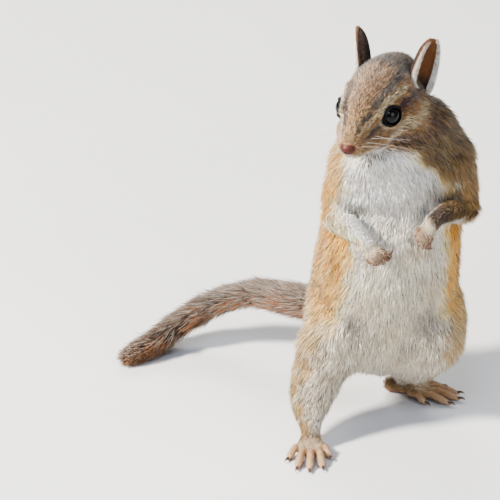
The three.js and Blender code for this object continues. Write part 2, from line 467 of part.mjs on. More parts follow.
// A body of a field inside a box round the groups named.
function bodyOf(field, names, h, tris, grow = 0, low = -2.5) {
  const b = boxOf(names.flatMap((n) => GROUPS[n]), 2.5);
  b.lo[2] = Math.max(b.lo[2], low);
  return solid(thin(polygonise((x, y, z) => field(x, y, z) - grow, b.lo, b.hi, h), tris));
}
// The largest body of a solid: a cut can leave crumbs.
const largest = (s) => s.decompose().sort((a, b) => b.volume() - a.volume())[0];

const coat = { crown: 0x8a6b4a, flank: 0xc98d4c, belly: 0xeee6d6, grey: 0x9a9086, paw: 0xd9c4a4, tail: 0x7a5b3c, ear: 0x7d5238, eye: 0x120c09, nose: 0x8c5a4e };
const look = { flesh: [0.85, 0], eye: [0.08, 0], nose: [0.5, 0] };
const FINENESS = 0.20;                    // mm, how far a flesh solid's faces may stray when small ones are merged
const figure = new THREE.Group();         // the animal, shifted so that the origin is the middle of its underside
function place(name, s, colour, kind = "flesh") {
  const m = largest(kind === "flesh" ? s.simplify(FINENESS) : s).getMesh();
  const v = new Float32Array(m.numVert * 3);
  for (let i = 0; i < m.numVert; i++) v.set(m.vertProperties.subarray(i * m.numProp, i * m.numProp + 3), i * 3);
  const g = new THREE.BufferGeometry().setAttribute("position", new THREE.BufferAttribute(v, 3)).setIndex(new THREE.BufferAttribute(new Uint32Array(m.triVerts), 1));
  const mesh = new THREE.Mesh(g, new THREE.MeshStandardMaterial({ color: colour, roughness: look[kind][0], metalness: look[kind][1] }));
  mesh.name = name;
  figure.add(mesh);
}

const [headSide, neckSide] = cut(...HEAD_PLANE), [neckTop, trunkSide] = cut(...NECK_PLANE);
const sockets = [1, -1].map((s) => ball(eyeAt(s), EYE_R + 0.4, 14, 9)), noseAxis = HF;
const noseSolid = (grow) => ball(noseAt, 1, 12, 8, [NOSE[4] + grow, NOSE[3] + grow, NOSE[5] + grow], noseAxis);

// Where the limbs are parted from the trunk: an ellipsoid round each thigh and shoulder, and a level for the shanks.
const DOMES = {
  thigh_l: [[21.5, 1.0, 32.0], [14.5, 21.0, 20.0]], thigh_r: [[-22.5, -3.0, 31.0], [15.5, 21.0, 20.0]],
  upper_arm_l: [[26.5, -2.0, 81.0], [11.5, 13.0, 16.5]], upper_arm_r: [[-18.0, -6.0, 80.0], [12.5, 14.0, 16.5]],
};
const CROTCH = 18.0, REAR = 25.0;         // the shanks own what is below and before these
const TAIL_BALL = [[-4.5, 29.5, 23.5], 12.5];
const dome = (name, grow = 0) => ball(DOMES[name][0], 1, 16, 10, DOMES[name][1].map((c) => c + grow));
const box = (lo, hi) => fromGeometry(new THREE.BoxGeometry(...sub(hi, lo)), new THREE.Matrix4().makeTranslation(...lo.map((c, k) => (c + hi[k]) / 2)));

// Forearms and hands lie clear of the chest, so they are bodies of their own.
const fore = {};
for (const [s, ELBOW, WRIST] of [["l", ELBOW_L, WRIST_L], ["r", ELBOW_R, WRIST_R]]) {
  const [armEnd] = cut(...ELBOW), [handSide, armSide] = cut(...WRIST), name = "forearm_" + s;
  const whole = bodyOf(alone(name), [name], 0.55, 400).intersect(armEnd);
  fore[s] = bodyOf(alone(name), [name], 0.9, 260, GAP + 0.2).intersect(beyond(add(ELBOW[0], unit(ELBOW[1]), -GAP), ELBOW[1]));
  place(name, whole.intersect(armSide), coat.paw);
  place("hand_" + s, whole.intersect(handSide), coat.paw);
}
const TAIL_CUTS = [1.3, 3, 5, 7].map((i) => {
  const k = Math.floor(i), a = TAIL[k], b = TAIL[k + 1] || a;
  return cut(a.slice(0, 3).map((c, m) => c + (b[m] - c) * (i - k)), sub(b.slice(0, 3), (k ? TAIL[k - 1] : a).slice(0, 3)));
});
// Head, neck, trunk and upper arms.
const headBody = bodyOf(joined(["head"]), ["head"], 0.85, 1050).intersect(headSide);
place("head", headBody.subtract(sockets[0]).subtract(sockets[1]).subtract(noseSolid(0.3)), coat.crown);
place("eye_l", ball(eyeAt(1), EYE_R, 14, 9), coat.eye, "eye");
place("eye_r", ball(eyeAt(-1), EYE_R, 14, 9), coat.eye, "eye");
place("nose", noseSolid(0), coat.nose, "nose");
const body = bodyOf(joined(Object.keys(JOIN)), ["trunk", "head", "arm_l", "arm_r", "leg_l", "leg_r"], 1.6, 1560, 0, 12)
  .subtract(fore.l).subtract(fore.r).intersect(neckSide).subtract(ball(TAIL_BALL[0], TAIL_BALL[1] + GAP / 2, 14, 9));
place("neck", body.intersect(neckTop), coat.crown);
const main = body.intersect(trunkSide);
let rest = main.intersect(box([-100, -100, CROTCH + GAP / 2], [100, 100, 200]));
for (const n of Object.keys(DOMES)) {
  rest = rest.subtract(dome(n, GAP / 2));
  if (n.startsWith("upper")) place(n, main.intersect(dome(n, -GAP / 2)), coat.flank);
}
place("trunk", rest, coat.belly);

// Legs.
for (const [s, sign, KNEE, ANKLE] of [["l", 1, KNEE_L, ANKLE_L], ["r", -1, KNEE_R, ANKLE_R]]) {
  const [low, thighSide] = cut(...KNEE), [footSide, shankSide] = cut(...ANKLE);
  const zone = dome("thigh_" + s, -GAP / 2).add(box([-100, -100, -5], [100, REAR - GAP / 2, CROTCH - GAP / 2]));
  const leg = bodyOf(joined(["leg_" + s]), ["leg_" + s], 0.95, 1000).intersect(zone).intersect(floor).intersect(beyond([-1.5, 0, 12], [sign, 0, -0.25 * sign]));
  place("thigh_" + s, leg.intersect(thighSide), coat.grey);
  place("shank_" + s, leg.intersect(low).intersect(shankSide), coat.grey);
  place("foot_" + s, leg.intersect(low).intersect(footSide), coat.paw);
}

// Ears stand on the head.
const scalp = bodyOf(joined(["head"]), ["head"], 1.6, 700, GAP + 0.25);
for (const s of ["l", "r"]) place("ear_" + s, bodyOf(alone("ear_" + s), ["ear_" + s], 0.55, 210).subtract(scalp), coat.ear);

// Tail, in four lengths.
const free = ball(TAIL_BALL[0], TAIL_BALL[1] - GAP / 2, 14, 9).add(TAIL_CUTS[0][0]);
const tail = bodyOf(joined(["tail"]), ["tail"], 1.2, 560).intersect(free).intersect(floor).subtract(box([-100, -100, -5], [100, REAR + GAP / 2, CROTCH + GAP / 2]));
["root", "upper", "lower", "tip"].forEach((n, i) => {
  const piece = i ? tail.intersect(TAIL_CUTS[i][0]) : tail;
  place("tail_" + n, i < 3 ? piece.intersect(TAIL_CUTS[i + 1][1]) : piece, coat.tail);
});

const bounds = new THREE.Box3().setFromObject(figure), middle = bounds.getCenter(new THREE.Vector3());
figure.position.set(-middle.x, -middle.y, 0);
const model = new THREE.Group();
model.add(figure);
export default model;
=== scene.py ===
"""A chipmunk figure standing on its hind feet: one skin, a coat of small mesh tufts, eyes, claws and whiskers, on a plain floor in soft light."""

import math

import bpy
import numpy as np
import openvdb
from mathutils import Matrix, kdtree


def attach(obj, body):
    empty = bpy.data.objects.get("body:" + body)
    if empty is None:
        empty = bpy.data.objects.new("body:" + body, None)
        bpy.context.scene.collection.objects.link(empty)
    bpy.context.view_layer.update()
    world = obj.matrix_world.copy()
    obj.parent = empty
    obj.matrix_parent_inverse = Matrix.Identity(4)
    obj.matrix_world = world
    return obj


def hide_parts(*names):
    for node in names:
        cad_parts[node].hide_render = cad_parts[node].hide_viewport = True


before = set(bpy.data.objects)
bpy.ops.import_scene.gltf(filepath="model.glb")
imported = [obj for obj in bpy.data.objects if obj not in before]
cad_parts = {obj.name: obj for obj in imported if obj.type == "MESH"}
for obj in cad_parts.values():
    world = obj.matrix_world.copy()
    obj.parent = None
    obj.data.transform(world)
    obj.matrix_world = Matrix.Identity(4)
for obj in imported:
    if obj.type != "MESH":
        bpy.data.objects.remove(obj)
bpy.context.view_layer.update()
SHIFT = np.array([26.981998443603516, -10.545526504516602, 0.0])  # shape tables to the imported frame, mm
MM = 0.001
RNG = np.random.default_rng(20)

# ------------------------------------------------------------------ the shape, as in the solids
# Sizes in mm. The last column of a row is the depth of the coat there.
HEAD_YAW, HEAD_PITCH, HEAD_ROLL = 25.4, 8.8, 1.6
EYE_MID = np.array([-5.8, -13.0, 111.2])
EYE_R = 3.35
EYE_POS = (0.3, 7.2, 0.0)
EYE_AXIS = (0.46, 0.87, 0.18)
ORBIT = (3.3, 3.75)
NOSE = (15.9, 0.0, -4.0, 1.75, 2.0, 1.5)
CRANIUM = [
    [-20.5, 0.0, 0.0, 8.2, 8.4, 2.6],
    [-15.5, 0.0, -0.2, 10.8, 10.3, 2.2],
    [-10.0, 0.0, -0.2, 11.2, 10.8, 1.8],
    [-4.5, 0.0, -0.6, 9.8, 10.3, 1.5],
    [0.0, 0.0, -1.1, 8.2, 9.3, 1.2],
    [4.5, 0.0, -2.0, 6.8, 7.8, 1.0],
    [8.5, 0.0, -3.0, 5.4, 6.2, 0.8],
    [12.5, 0.0, -3.8, 3.9, 4.6, 0.6],
    [15.0, 0.0, -4.2, 2.5, 3.0, 0.4],
]
CHEEK = [[-9.0, 7.2, -4.8, 5.2, 6.0, 2.0], [-2.0, 6.2, -5.6, 4.5, 4.5, 1.6], [4.0, 5.2, -5.6, 4.0, 3.8, 1.1]]
WHISKER_PAD = [[6.5, 4.3, -5.4, 3.4, 3.3, 0.9], [11.5, 2.7, -5.6, 2.9, 2.5, 0.6], [13.9, 1.4, -5.6, 1.8, 1.7, 0.4]]
JAW = [[-8.0, 0.0, -7.6, 7.6, 5.0, 2.0], [2.0, 0.0, -7.8, 5.2, 3.5, 1.3], [9.0, 0.0, -8.1, 3.0, 2.1, 0.8], [11.6, 0.0, -7.9, 1.8, 1.4, 0.5]]
BROW = [[5.5, 4.6, 2.2, 2.0, 1.7, 0.8], [1.5, 5.7, 3.8, 2.3, 2.0, 0.9], [-3.5, 6.6, 4.3, 2.7, 2.5, 1.2]]
EAR_BASE = (-16.8, 10.4, 1.0)
EAR_TIP = (-22.7, 13.5, 14.2)
EAR_OPEN = (0.36, 0.93, 0.10)
EAR_CUP = (4.2, 10.2, 3.4)
EAR_THICK, EAR_COAT = 1.25, 0.14
TRUNK = [
    [-0.6, 11.0, 27.0, 15.0, 14.5, 3.4],
    [-0.6, 10.5, 32.0, 20.6, 20.0, 3.6],
    [-0.4, 7.8, 38.5, 22.8, 23.6, 3.6],
    [0.3, 5.0, 48.0, 23.2, 24.2, 3.6],
    [1.5, 4.6, 58.0, 22.6, 22.9, 3.6],
    [3.1, 4.6, 69.0, 21.6, 20.8, 3.6],
    [4.7, 3.8, 80.0, 21.2, 18.4, 3.6],
    [5.4, 2.6, 89.5, 20.2, 16.6, 3.6],
    [4.9, 0.6, 98.0, 17.6, 14.8, 3.4],
    [3.2, -2.4, 105.0, 13.8, 12.6, 3.0],
    [1.0, -5.4, 109.5, 10.2, 9.6, 2.6],
]
THROAT = [[1.5, -8.0, 87.0, 14.0, 8.0, 3.2], [-1.0, -11.5, 95.5, 9.8, 6.6, 2.6]]
ARM_L = [[19.0, 0.5, 90.0, 7.6, 8.6, 3.2], [22.4, -1.2, 82.0, 6.2, 7.6, 3.0], [23.9, -3.8, 75.0, 4.7, 5.4, 2.3]]
FOREARM_L = [[24.0, -4.4, 75.4, 4.4, 4.6, 2.0], [20.6, -11.5, 76.8, 3.7, 4.0, 1.5], [16.4, -17.8, 77.8, 2.8, 2.9, 0.9], [14.6, -20.1, 77.4, 2.5, 2.5, 0.7]]
ARM_R = [[-8.4, 0.0, 89.0, 8.2, 9.0, 3.2], [-12.6, -3.6, 80.5, 6.9, 8.0, 3.0], [-14.9, -8.4, 74.5, 4.9, 5.6, 2.3]]
FOREARM_R = [[-14.9, -9.2, 74.2, 4.4, 4.6, 2.0], [-11.6, -15.0, 73.0, 3.7, 4.0, 1.5], [-7.6, -19.4, 71.0, 2.9, 3.0, 0.9], [-6.4, -20.6, 69.9, 2.5, 2.5, 0.7]]
HAND_L = ((14.2, -20.4, 77.0), (11.3, -22.4, 73.4), (0.86, 0.16, -0.48), (0.10, 0.42, -0.90))
HAND_R = ((-6.2, -20.8, 69.6), (-3.4, -22.6, 66.6), (0.52, 0.20, 0.83), (0.80, 0.46, -0.38))
PALM = (2.4, 1.75, 0.6)
FINGERS = [(-2.5, -0.5, 0.86), (-0.9, 0.15, 1.0), (0.85, 0.15, 1.0), (2.45, -0.45, 0.88)]
FINGER_R = 0.98
THIGH_L = [[10.0, 11.0, 34.0, 13.5, 14.5, 3.6], [12.8, 2.0, 34.0, 12.6, 13.4, 3.6], [14.2, -4.4, 32.0, 10.4, 11.4, 3.4]]
SHANK_L = [[13.8, -3.0, 28.5, 9.2, 9.0, 3.2], [11.4, 5.0, 18.5, 7.6, 7.4, 2.6], [8.6, 12.4, 11.6, 4.9, 4.8, 1.6], [6.2, 17.4, 6.6, 3.1, 3.4, 0.8]]
THIGH_R = [[-9.2, 9.5, 34.0, 13.2, 14.5, 3.6], [-11.6, 0.0, 33.5, 12.8, 13.6, 3.6], [-14.6, -6.0, 32.0, 10.6, 11.6, 3.4]]
SHANK_R = [[-16.9, -7.0, 28.0, 10.1, 10.2, 3.2], [-20.4, -9.6, 20.6, 8.6, 8.6, 2.8], [-22.4, -13.0, 14.4, 6.9, 6.7, 2.2], [-23.2, -17.0, 9.4, 4.5, 4.5, 1.3], [-22.9, -19.8, 6.0, 3.1, 3.3, 0.8]]
FOOT = [[-3.8, 0.2, 3.0, 2.8, 2.9, 0.7], [0.3, 0.2, 3.5, 3.3, 3.2, 0.7], [6.2, 0.0, 2.3, 4.9, 2.3, 0.5]]
TOES = [(3.6, -3.4, 9.4, -6.6), (6.4, -2.7, 16.6, -4.6), (7.2, -0.4, 18.6, -0.6), (6.8, 1.8, 17.4, 3.4), (4.6, 3.5, 11.2, 6.6)]
TOE_R = 1.32
FOOT_L = (6.2, 18.0, 74.0)
FOOT_R = (-22.8, -19.4, -4.0)
TAIL = [
    [0.0, 21.0, 25.5, 8.4, 7.6, 4.2],
    [-6.0, 30.5, 22.6, 7.2, 6.4, 4.2],
    [-15.5, 36.5, 21.0, 6.8, 6.4, 4.2],
    [-27.0, 41.5, 21.2, 6.5, 5.8, 4.0],
    [-39.5, 47.5, 20.6, 6.2, 4.6, 3.7],
    [-51.5, 52.0, 15.6, 6.4, 4.7, 3.8],
    [-62.0, 51.5, 9.8, 6.6, 4.7, 3.9],
    [-70.5, 47.0, 5.2, 5.8, 4.5, 3.6],
    [-76.5, 42.0, 3.5, 4.2, 3.8, 3.0],
    [-80.5, 38.0, 2.9, 2.2, 2.4, 1.7],
]


def unit(a):
    a = np.asarray(a, float)
    return a / (np.linalg.norm(a, axis=-1, keepdims=True) + 1e-12)


def away(a, n):
    a = np.asarray(a, float)
    return unit(a - n * np.dot(a, n))


_y, _p, _r = (math.radians(v) for v in (HEAD_YAW, HEAD_PITCH, HEAD_ROLL))
HF = np.array([-math.sin(_y) * math.cos(_p), -math.cos(_y) * math.cos(_p), -math.sin(_p)])
LEVEL = np.array([math.cos(_y), -math.sin(_y), 0.0])
PLUMB = np.cross(HF, LEVEL)
HL = LEVEL * math.cos(_r) + PLUMB * math.sin(_r)
HU = PLUMB * math.cos(_r) - LEVEL * math.sin(_r)


def in_head(s, w, h):
    return EYE_MID + HF * s + HL * w + HU * h


class Chain:
    """Elliptical sections run along a smooth line. flow says how the coat lies on it: 1 along the rows, -1 against them, or a function of points."""

    def __init__(self, rows, side, blend, steps=3, flow=1, name=""):
        rows = np.array(rows, float)
        if steps > 1:
            out = []
            for i in range(len(rows) - 1):
                p0, p1, p2, p3 = rows[max(0, i - 1)], rows[i], rows[i + 1], rows[min(len(rows) - 1, i + 2)]
                for j in range(steps):
                    t = j / steps
                    out.append(0.5 * (2 * p1 + (p2 - p0) * t + (2 * p0 - 5 * p1 + 4 * p2 - p3) * t * t + (3 * p1 - p0 - 3 * p2 + p3) * t**3))
            out.append(rows[-1])
            rows = np.array(out)
        self.blend, self.flow, self.name = blend, flow, name
        self.spans, run = [], 0.0
        for p, q in zip(rows[:-1], rows[1:]):
            d = q[:3] - p[:3]
            length = float(np.linalg.norm(d)) or 1e-6
            along = d / length
            s = away(side, along)
            r = max(p[3], p[4], q[3], q[4])
            lo, hi = np.minimum(p[:3], q[:3]) - r, np.maximum(p[:3], q[:3]) + r
            self.spans.append((p, q, length, along, s, np.cross(along, s), lo, hi, run))
            run += length
        self.length = run
        self.LO, self.HI = np.array([g[6] for g in self.spans]), np.array([g[7] for g in self.spans])
        self.lo, self.hi = self.LO.min(0), self.HI.max(0)
        self.reach = 10.0 if name in ("trunk", "throat") else 4.0 if blend <= 1.4 and steps == 1 else 8.0

    def close(self, lo, hi, m):
        """The spans whose boxes come within m of a box."""
        return [self.spans[i] for i in np.flatnonzero((self.LO - m < hi).all(1) & (self.HI + m > lo).all(1))]


MARGIN = 10.0
FAR = 60.0


def span_field(g, P):
    p, q, length, along, s, n = g[:6]
    d = P - p[:3]
    x = d @ along
    t = np.clip(x / length, 0, 1)
    a = p[3] + (q[3] - p[3]) * t
    b = p[4] + (q[4] - p[4]) * t
    c = np.minimum(a, b)
    u, v, w = d @ s, d @ n, x - t * length
    rho = np.sqrt(u * u + v * v + w * w)
    k = np.sqrt((u / a) ** 2 + (v / b) ** 2 + (w / c) ** 2)
    with np.errstate(divide="ignore", invalid="ignore"):
        out = rho - rho / k
    return np.where(rho < 1e-6, -c, out), t, u, v


def smin(a, b, k):
    h = np.maximum(k - np.abs(a - b), 0) / k
    return np.minimum(a, b) - h * h * k * 0.25


def smax(a, b, k):
    return -smin(-a, -b, k)


def near(lo, hi, box_lo, box_hi, m=MARGIN):
    return bool(np.all(lo - m < box_hi) and np.all(hi + m > box_lo))


def chain_field(c, P, lo, hi):
    d = np.full(len(P), FAR)
    for g in c.close(lo, hi, c.reach):
        d = np.minimum(d, span_field(g, P)[0])
    return d


class Cup:
    def __init__(self, side):
        base = in_head(EAR_BASE[0], EAR_BASE[1] * side, EAR_BASE[2])
        tip = in_head(EAR_TIP[0], EAR_TIP[1] * side, EAR_TIP[2])
        self.t = unit(tip - base)
        self.o = away(HF * EAR_OPEN[0] + HL * EAR_OPEN[1] * side + HU * EAR_OPEN[2], self.t)
        self.c = tip - self.t * EAR_CUP[1]
        self.w = np.cross(self.t, self.o)
        self.base, self.tip, self.side = base, tip, side
        self.lo, self.hi = self.c - 11, self.c + 11
        self.blend = 1.0

    def local(self, P):
        d = P - self.c
        return d @ self.w, d @ self.t, d @ self.o

    def field(self, P):
        u, t, o = self.local(P)
        r0, r1, r2 = EAR_CUP
        taper = 1 - 0.12 * np.clip(t / r1, -1, 1.2)
        a = r0 * taper
        t = np.where(t > 0, r1 * (np.maximum(t, 0) / r1) ** 1.35, t)  # a rounder top
        k0 = np.sqrt((u / a) ** 2 + (t / r1) ** 2 + (o / r2) ** 2)
        k1 = np.sqrt((u / a / a) ** 2 + (t / r1 / r1) ** 2 + (o / r2 / r2) ** 2) + 1e-6
        thick = EAR_THICK / 2 - EAR_COAT
        shell = np.abs(k0 * (k0 - 1) / k1) - thick
        # a soft fold runs up the hollow, and the front rim rolls in
        fold = 0.22 * np.exp(-(((u - 0.9) / 0.5) ** 2)) * np.clip(1 - np.abs(t + 2.5) / 6, 0, 1)
        shell = shell - np.where(o < 0, fold, 0)
        rim = o - 0.25 + 0.10 * t
        return smax(shell, rim, 0.5)


def less_coat(rows, drop=False):
    """The skin under a row: its sizes less the coat. With drop, the coat is all taken from the top, so that a sole stays on the floor."""
    out = []
    for r in rows:
        c = r[5]
        out.append([r[0], r[1], r[2] - (c if drop else 0), r[3] - c, r[4] - c, c])
    return out


def head_chain(rows, side, blend, steps=3, name="head"):
    return Chain([[*in_head(r[0], r[1] * side, r[2]), *r[3:]] for r in less_coat(rows)], HL, blend, steps, "head", name)


def hand_chains(data, name):
    wrist, knuckle, row, curl = (np.array(v) for v in data)
    fwd = unit(knuckle - wrist)
    across = away(row, fwd)
    c = PALM[2]
    out = [Chain([[*wrist, PALM[0] - c, PALM[1] + 0.4 - c, c], [*knuckle, PALM[0] + 0.7 - c, PALM[1] - 0.25, c]], across, 1.4, 1, 1, name)]
    tips = []
    for at, forward, size in FINGERS:
        r = FINGER_R - 0.08
        a = knuckle + across * at + fwd * forward
        d1, d2, d3 = unit(fwd * 0.75 + curl * 0.65), unit(curl), unit(curl - fwd * 0.55)
        b = a + d1 * 2.1 * size
        k = b + d2 * 1.7 * size
        e = k + d3 * 1.3 * size
        rows = [[*a, r, r, 0.3], [*b, r * 0.98, r * 0.98, 0.25], [*k, r * 0.85, r * 0.85, 0.2], [*e, 0.42, 0.42, 0.1]]
        out.append(Chain(rows, [1, 0, 0], 0.5, 1, 1, name))
        tips.append((k, e, d3, fwd))
    return out, tips


def foot_chains(data, side, name):
    x, y, turn = data
    t = math.radians(turn)
    f = np.array([math.sin(t), -math.cos(t), 0.0])
    out = np.array([math.cos(t) * side, math.sin(t) * side, 0.0])

    def at(s, w, z):
        p = np.array([x, y, 0.0]) + f * s + out * w
        p[2] = z
        return p

    chains = [Chain([[*at(r[0], r[1], r[2]), *r[3:]] for r in less_coat(FOOT, True)], out, 1.6, 3, 1, name)]
    tips = []
    for i, (s0, w0, s1, w1) in enumerate(TOES):
        r = (TOE_R * 0.92 if i in (0, 4) else TOE_R) - 0.1
        p = [at(s0 + (s1 - s0) * k, w0 + (w1 - w0) * k, z) for k, z in ((0, 1.9), (0.42, 2.4), (0.78, 1.15), (1.0, 0.7))]
        rows = [[*p[0], r, r, 0.4], [*p[1], r * 0.92, r * 0.98, 0.35], [*p[2], r * 0.95, r * 0.9, 0.25], [*p[3], 0.48, 0.42, 0.1]]
        chains.append(Chain(rows, [1, 0, 0], 0.7, 1, 1, name))
        tips.append((p[2], p[3], unit(p[3] - p[0])))
    return chains, tips


X = [1, 0, 0]
HAND_CHAINS_L, FINGER_TIPS_L = hand_chains(HAND_L, "hand_l")
HAND_CHAINS_R, FINGER_TIPS_R = hand_chains(HAND_R, "hand_r")
FOOT_CHAINS_L, TOE_TIPS_L = foot_chains(FOOT_L, 1, "foot_l")
FOOT_CHAINS_R, TOE_TIPS_R = foot_chains(FOOT_R, -1, "foot_r")
EARS = {"ear_l": Cup(1), "ear_r": Cup(-1)}
GROUPS = {
    "head": [head_chain(CRANIUM, 1, 1, 4), head_chain(JAW, 1, 4)]
    + [head_chain(BROW, s, 2.2) for s in (1, -1)]
    + [head_chain(CHEEK, s, 3) for s in (1, -1)]
    + [head_chain(WHISKER_PAD, s, 2) for s in (1, -1)],
    "trunk": [Chain(less_coat(TRUNK), X, 1, 3, -1, "trunk"), Chain(less_coat(THROAT), X, 9, 3, -1, "throat")],
    "arm_l": [Chain(less_coat(ARM_L), X, 1, 3, 1, "arm_l")],
    "arm_r": [Chain(less_coat(ARM_R), X, 1, 3, 1, "arm_r")],
    "leg_l": [Chain(less_coat(THIGH_L), X, 1, 3, "thigh", "thigh_l"), Chain(less_coat(SHANK_L), X, 5, 3, 1, "shank_l"), *FOOT_CHAINS_L],
    "leg_r": [Chain(less_coat(THIGH_R), X, 1, 3, "thigh", "thigh_r"), Chain(less_coat(SHANK_R), X, 5, 3, 1, "shank_r"), *FOOT_CHAINS_R],
    "forearm_l": [Chain(less_coat(FOREARM_L), [0, 0, 1], 2.5, 3, 1, "forearm_l"), *HAND_CHAINS_L],
    "forearm_r": [Chain(less_coat(FOREARM_R), [0, 0, 1], 2.5, 3, 1, "forearm_r"), *HAND_CHAINS_R],
    "tail": [Chain(less_coat(TAIL), [0.45, 0.9, 0], 1, 4, 1, "tail")],
}
JOIN = {"head": 5, "arm_l": 6, "arm_r": 6, "leg_l": 7, "leg_r": 7, "tail": 6, "forearm_l": 2.5, "forearm_r": 2.5}
GROUP_BOX = {n: (np.min([c.lo for c in g], axis=0), np.max([c.hi for c in g], axis=0)) for n, g in GROUPS.items()}


def eye_at(side):
    return in_head(EYE_POS[0], EYE_POS[1] * side, EYE_POS[2])


def eye_axis(side):
    return unit(HF * EYE_AXIS[0] + HL * EYE_AXIS[1] * side + HU * EYE_AXIS[2])


def eye_frame(side):
    """The way the eye looks, and along and across its slit."""
    axis = eye_axis(side)
    slit = away(HF + HU * -0.10, axis)
    return axis, slit, np.cross(axis, slit) * (1 if side < 0 else -1)


for _s in (1, -1):
    _a, _u, _v = eye_frame(_s)
    assert _v @ HU > 0


def aperture(P, side):
    """Below 0 inside the opening of the lids, about in mm across the eye's axis."""
    axis, slit, up = eye_frame(side)
    q = P - eye_at(side)
    u, v, a = q @ slit, q @ up, q @ axis
    x = (u - 0.05) / 3.02
    y = v / 2.72 * (1 + 0.30 * np.clip(np.abs(x) - 0.35, 0, 1))
    return (np.sqrt(x * x + y * y) - 1) * 2.7, a, np.linalg.norm(q, axis=1)


def segment(P, a, b):
    a, b = np.asarray(a, float), np.asarray(b, float)
    d = b - a
    t = np.clip((P - a) @ d / (d @ d), 0, 1)
    return np.linalg.norm(P - a - t[:, None] * d, axis=1)


MOUTH = [(15.2, 0.0, -6.9), (13.6, 1.3, -7.15), (11.4, 2.35, -7.2), (8.8, 3.5, -7.1), (6.6, 4.5, -6.9)]
NOSE_AT = in_head(*NOSE[:3])


def nose_field(P):
    q = P - NOSE_AT
    u, v, w = (q @ HF) / (NOSE[3] + 0.15), (q @ HL) / (NOSE[4] + 0.2), (q @ HU) / (NOSE[5] + 0.1)
    k = np.sqrt(u * u + v * v + w * w)
    rho = np.linalg.norm(q, axis=1)
    return rho - rho / np.maximum(k, 1e-6)


def face_detail(d, P):
    """Lids, nose pad, nostrils, the cleft under the nose and the line of the mouth."""
    for side in (1, -1):
        c, axis = eye_at(side), eye_axis(side)
        d = smax(d, -(np.linalg.norm(P - c - axis * ORBIT[0], axis=1) - ORBIT[1]), 1.6)
        ap, a, rho = aperture(P, side)
        lid = rho - (EYE_R + 0.36)
        rim = np.sqrt(np.maximum(ap - 0.25, 0) ** 2 + (rho - EYE_R - 0.12) ** 2) - 0.42  # a rounded edge to the lids
        rim = np.where(ap > 1.6, 5, rim)
        d = smin(d, np.maximum(lid, -a - 1.0), 1.3)
        d = smin(d, np.where(a > 0, rim, 5.0), 0.35)
        d = smax(d, -np.maximum(ap + 0.05, 0.4 - a), 0.15)
    d = smin(d, nose_field(P), 0.9)
    for side in (1, -1):
        pit = segment(P, in_head(17.25, 0.62 * side, -4.15), in_head(16.75, 1.42 * side, -3.75)) - 0.30
        d = smax(d, -pit, 0.25)
        for a, b in zip(MOUTH[:-1], MOUTH[1:]):
            line = segment(P, in_head(a[0], a[1] * side, a[2]), in_head(b[0], b[1] * side, b[2])) - 0.34
            d = smax(d, -line, 0.5)
    cleft = segment(P, in_head(17.5, 0, -4.6), in_head(15.4, 0, -6.9)) - 0.22
    return smax(d, -cleft, 0.3)


EYE_BOXES = [(eye_at(s) - 7, eye_at(s) + 7) for s in (1, -1)]
MUZZLE_BOX = (in_head(10, 0, -5) - 9, in_head(10, 0, -5) + 9)


def skin_in_cell(P, lo, hi):
    def group(name):
        g = GROUPS[name]
        d = np.full(len(P), FAR)
        if not near(*GROUP_BOX[name], lo, hi):
            return d
        for c in g:
            if near(c.lo, c.hi, lo, hi, c.reach):
                d = smin(d, chain_field(c, P, lo, hi), c.blend)
        return d

    d = group("trunk")
    for n in ("head", "arm_l", "arm_r", "leg_l", "leg_r", "tail", "forearm_l", "forearm_r"):
        e = group(n)
        if n == "head" and e.min() < 30:
            if any(near(*b, lo, hi, 2) for b in (*EYE_BOXES, MUZZLE_BOX)):
                e = face_detail(e, P)
        d = smin(d, e, JOIN[n])
    for ear in EARS.values():
        if near(ear.lo, ear.hi, lo, hi, 2):
            d = smin(d, ear.field(P), 1.2)
    return d


def cells(P, size=9.0):
    key = np.floor((P - P.min(0)) / size).astype(np.int64)
    code = (key[:, 0] * 4096 + key[:, 1]) * 4096 + key[:, 2]
    order = np.argsort(code, kind="stable")
    cuts = np.flatnonzero(np.diff(code[order])) + 1
    return np.split(order, cuts)


def skin(P):
    out = np.empty(len(P))
    for ids in cells(P):
        Q = P[ids]
        out[ids] = skin_in_cell(Q, Q.min(0), Q.max(0))
    return np.maximum(out, 0.02 - P[:, 2])


def gradient(P, h=0.05):
    """The field's slope, from the four corners of a small tetrahedron."""
    g = np.zeros_like(P)
    for e in np.array([[1, -1, -1], [-1, -1, 1], [-1, 1, -1], [1, 1, 1]], float) * h:
        g += e * skin(P + e)[:, None]
    return g / (4 * h * h)


def point_normals(V, T):
    n = np.cross(V[T[:, 1]] - V[T[:, 0]], V[T[:, 2]] - V[T[:, 0]])
    out = np.stack([sum(np.bincount(T[:, j], n[:, k], len(V)) for j in range(3)) for k in range(3)], 1)
    return unit(out)


# ------------------------------------------------------------------ the skin's mesh
H = 0.5
LO = np.array([-84.0, -42.0, -1.6])
COUNT = np.array([int(math.ceil(v / H / 4)) * 4 + 1 for v in (116.0, 104.0, 130.0)])


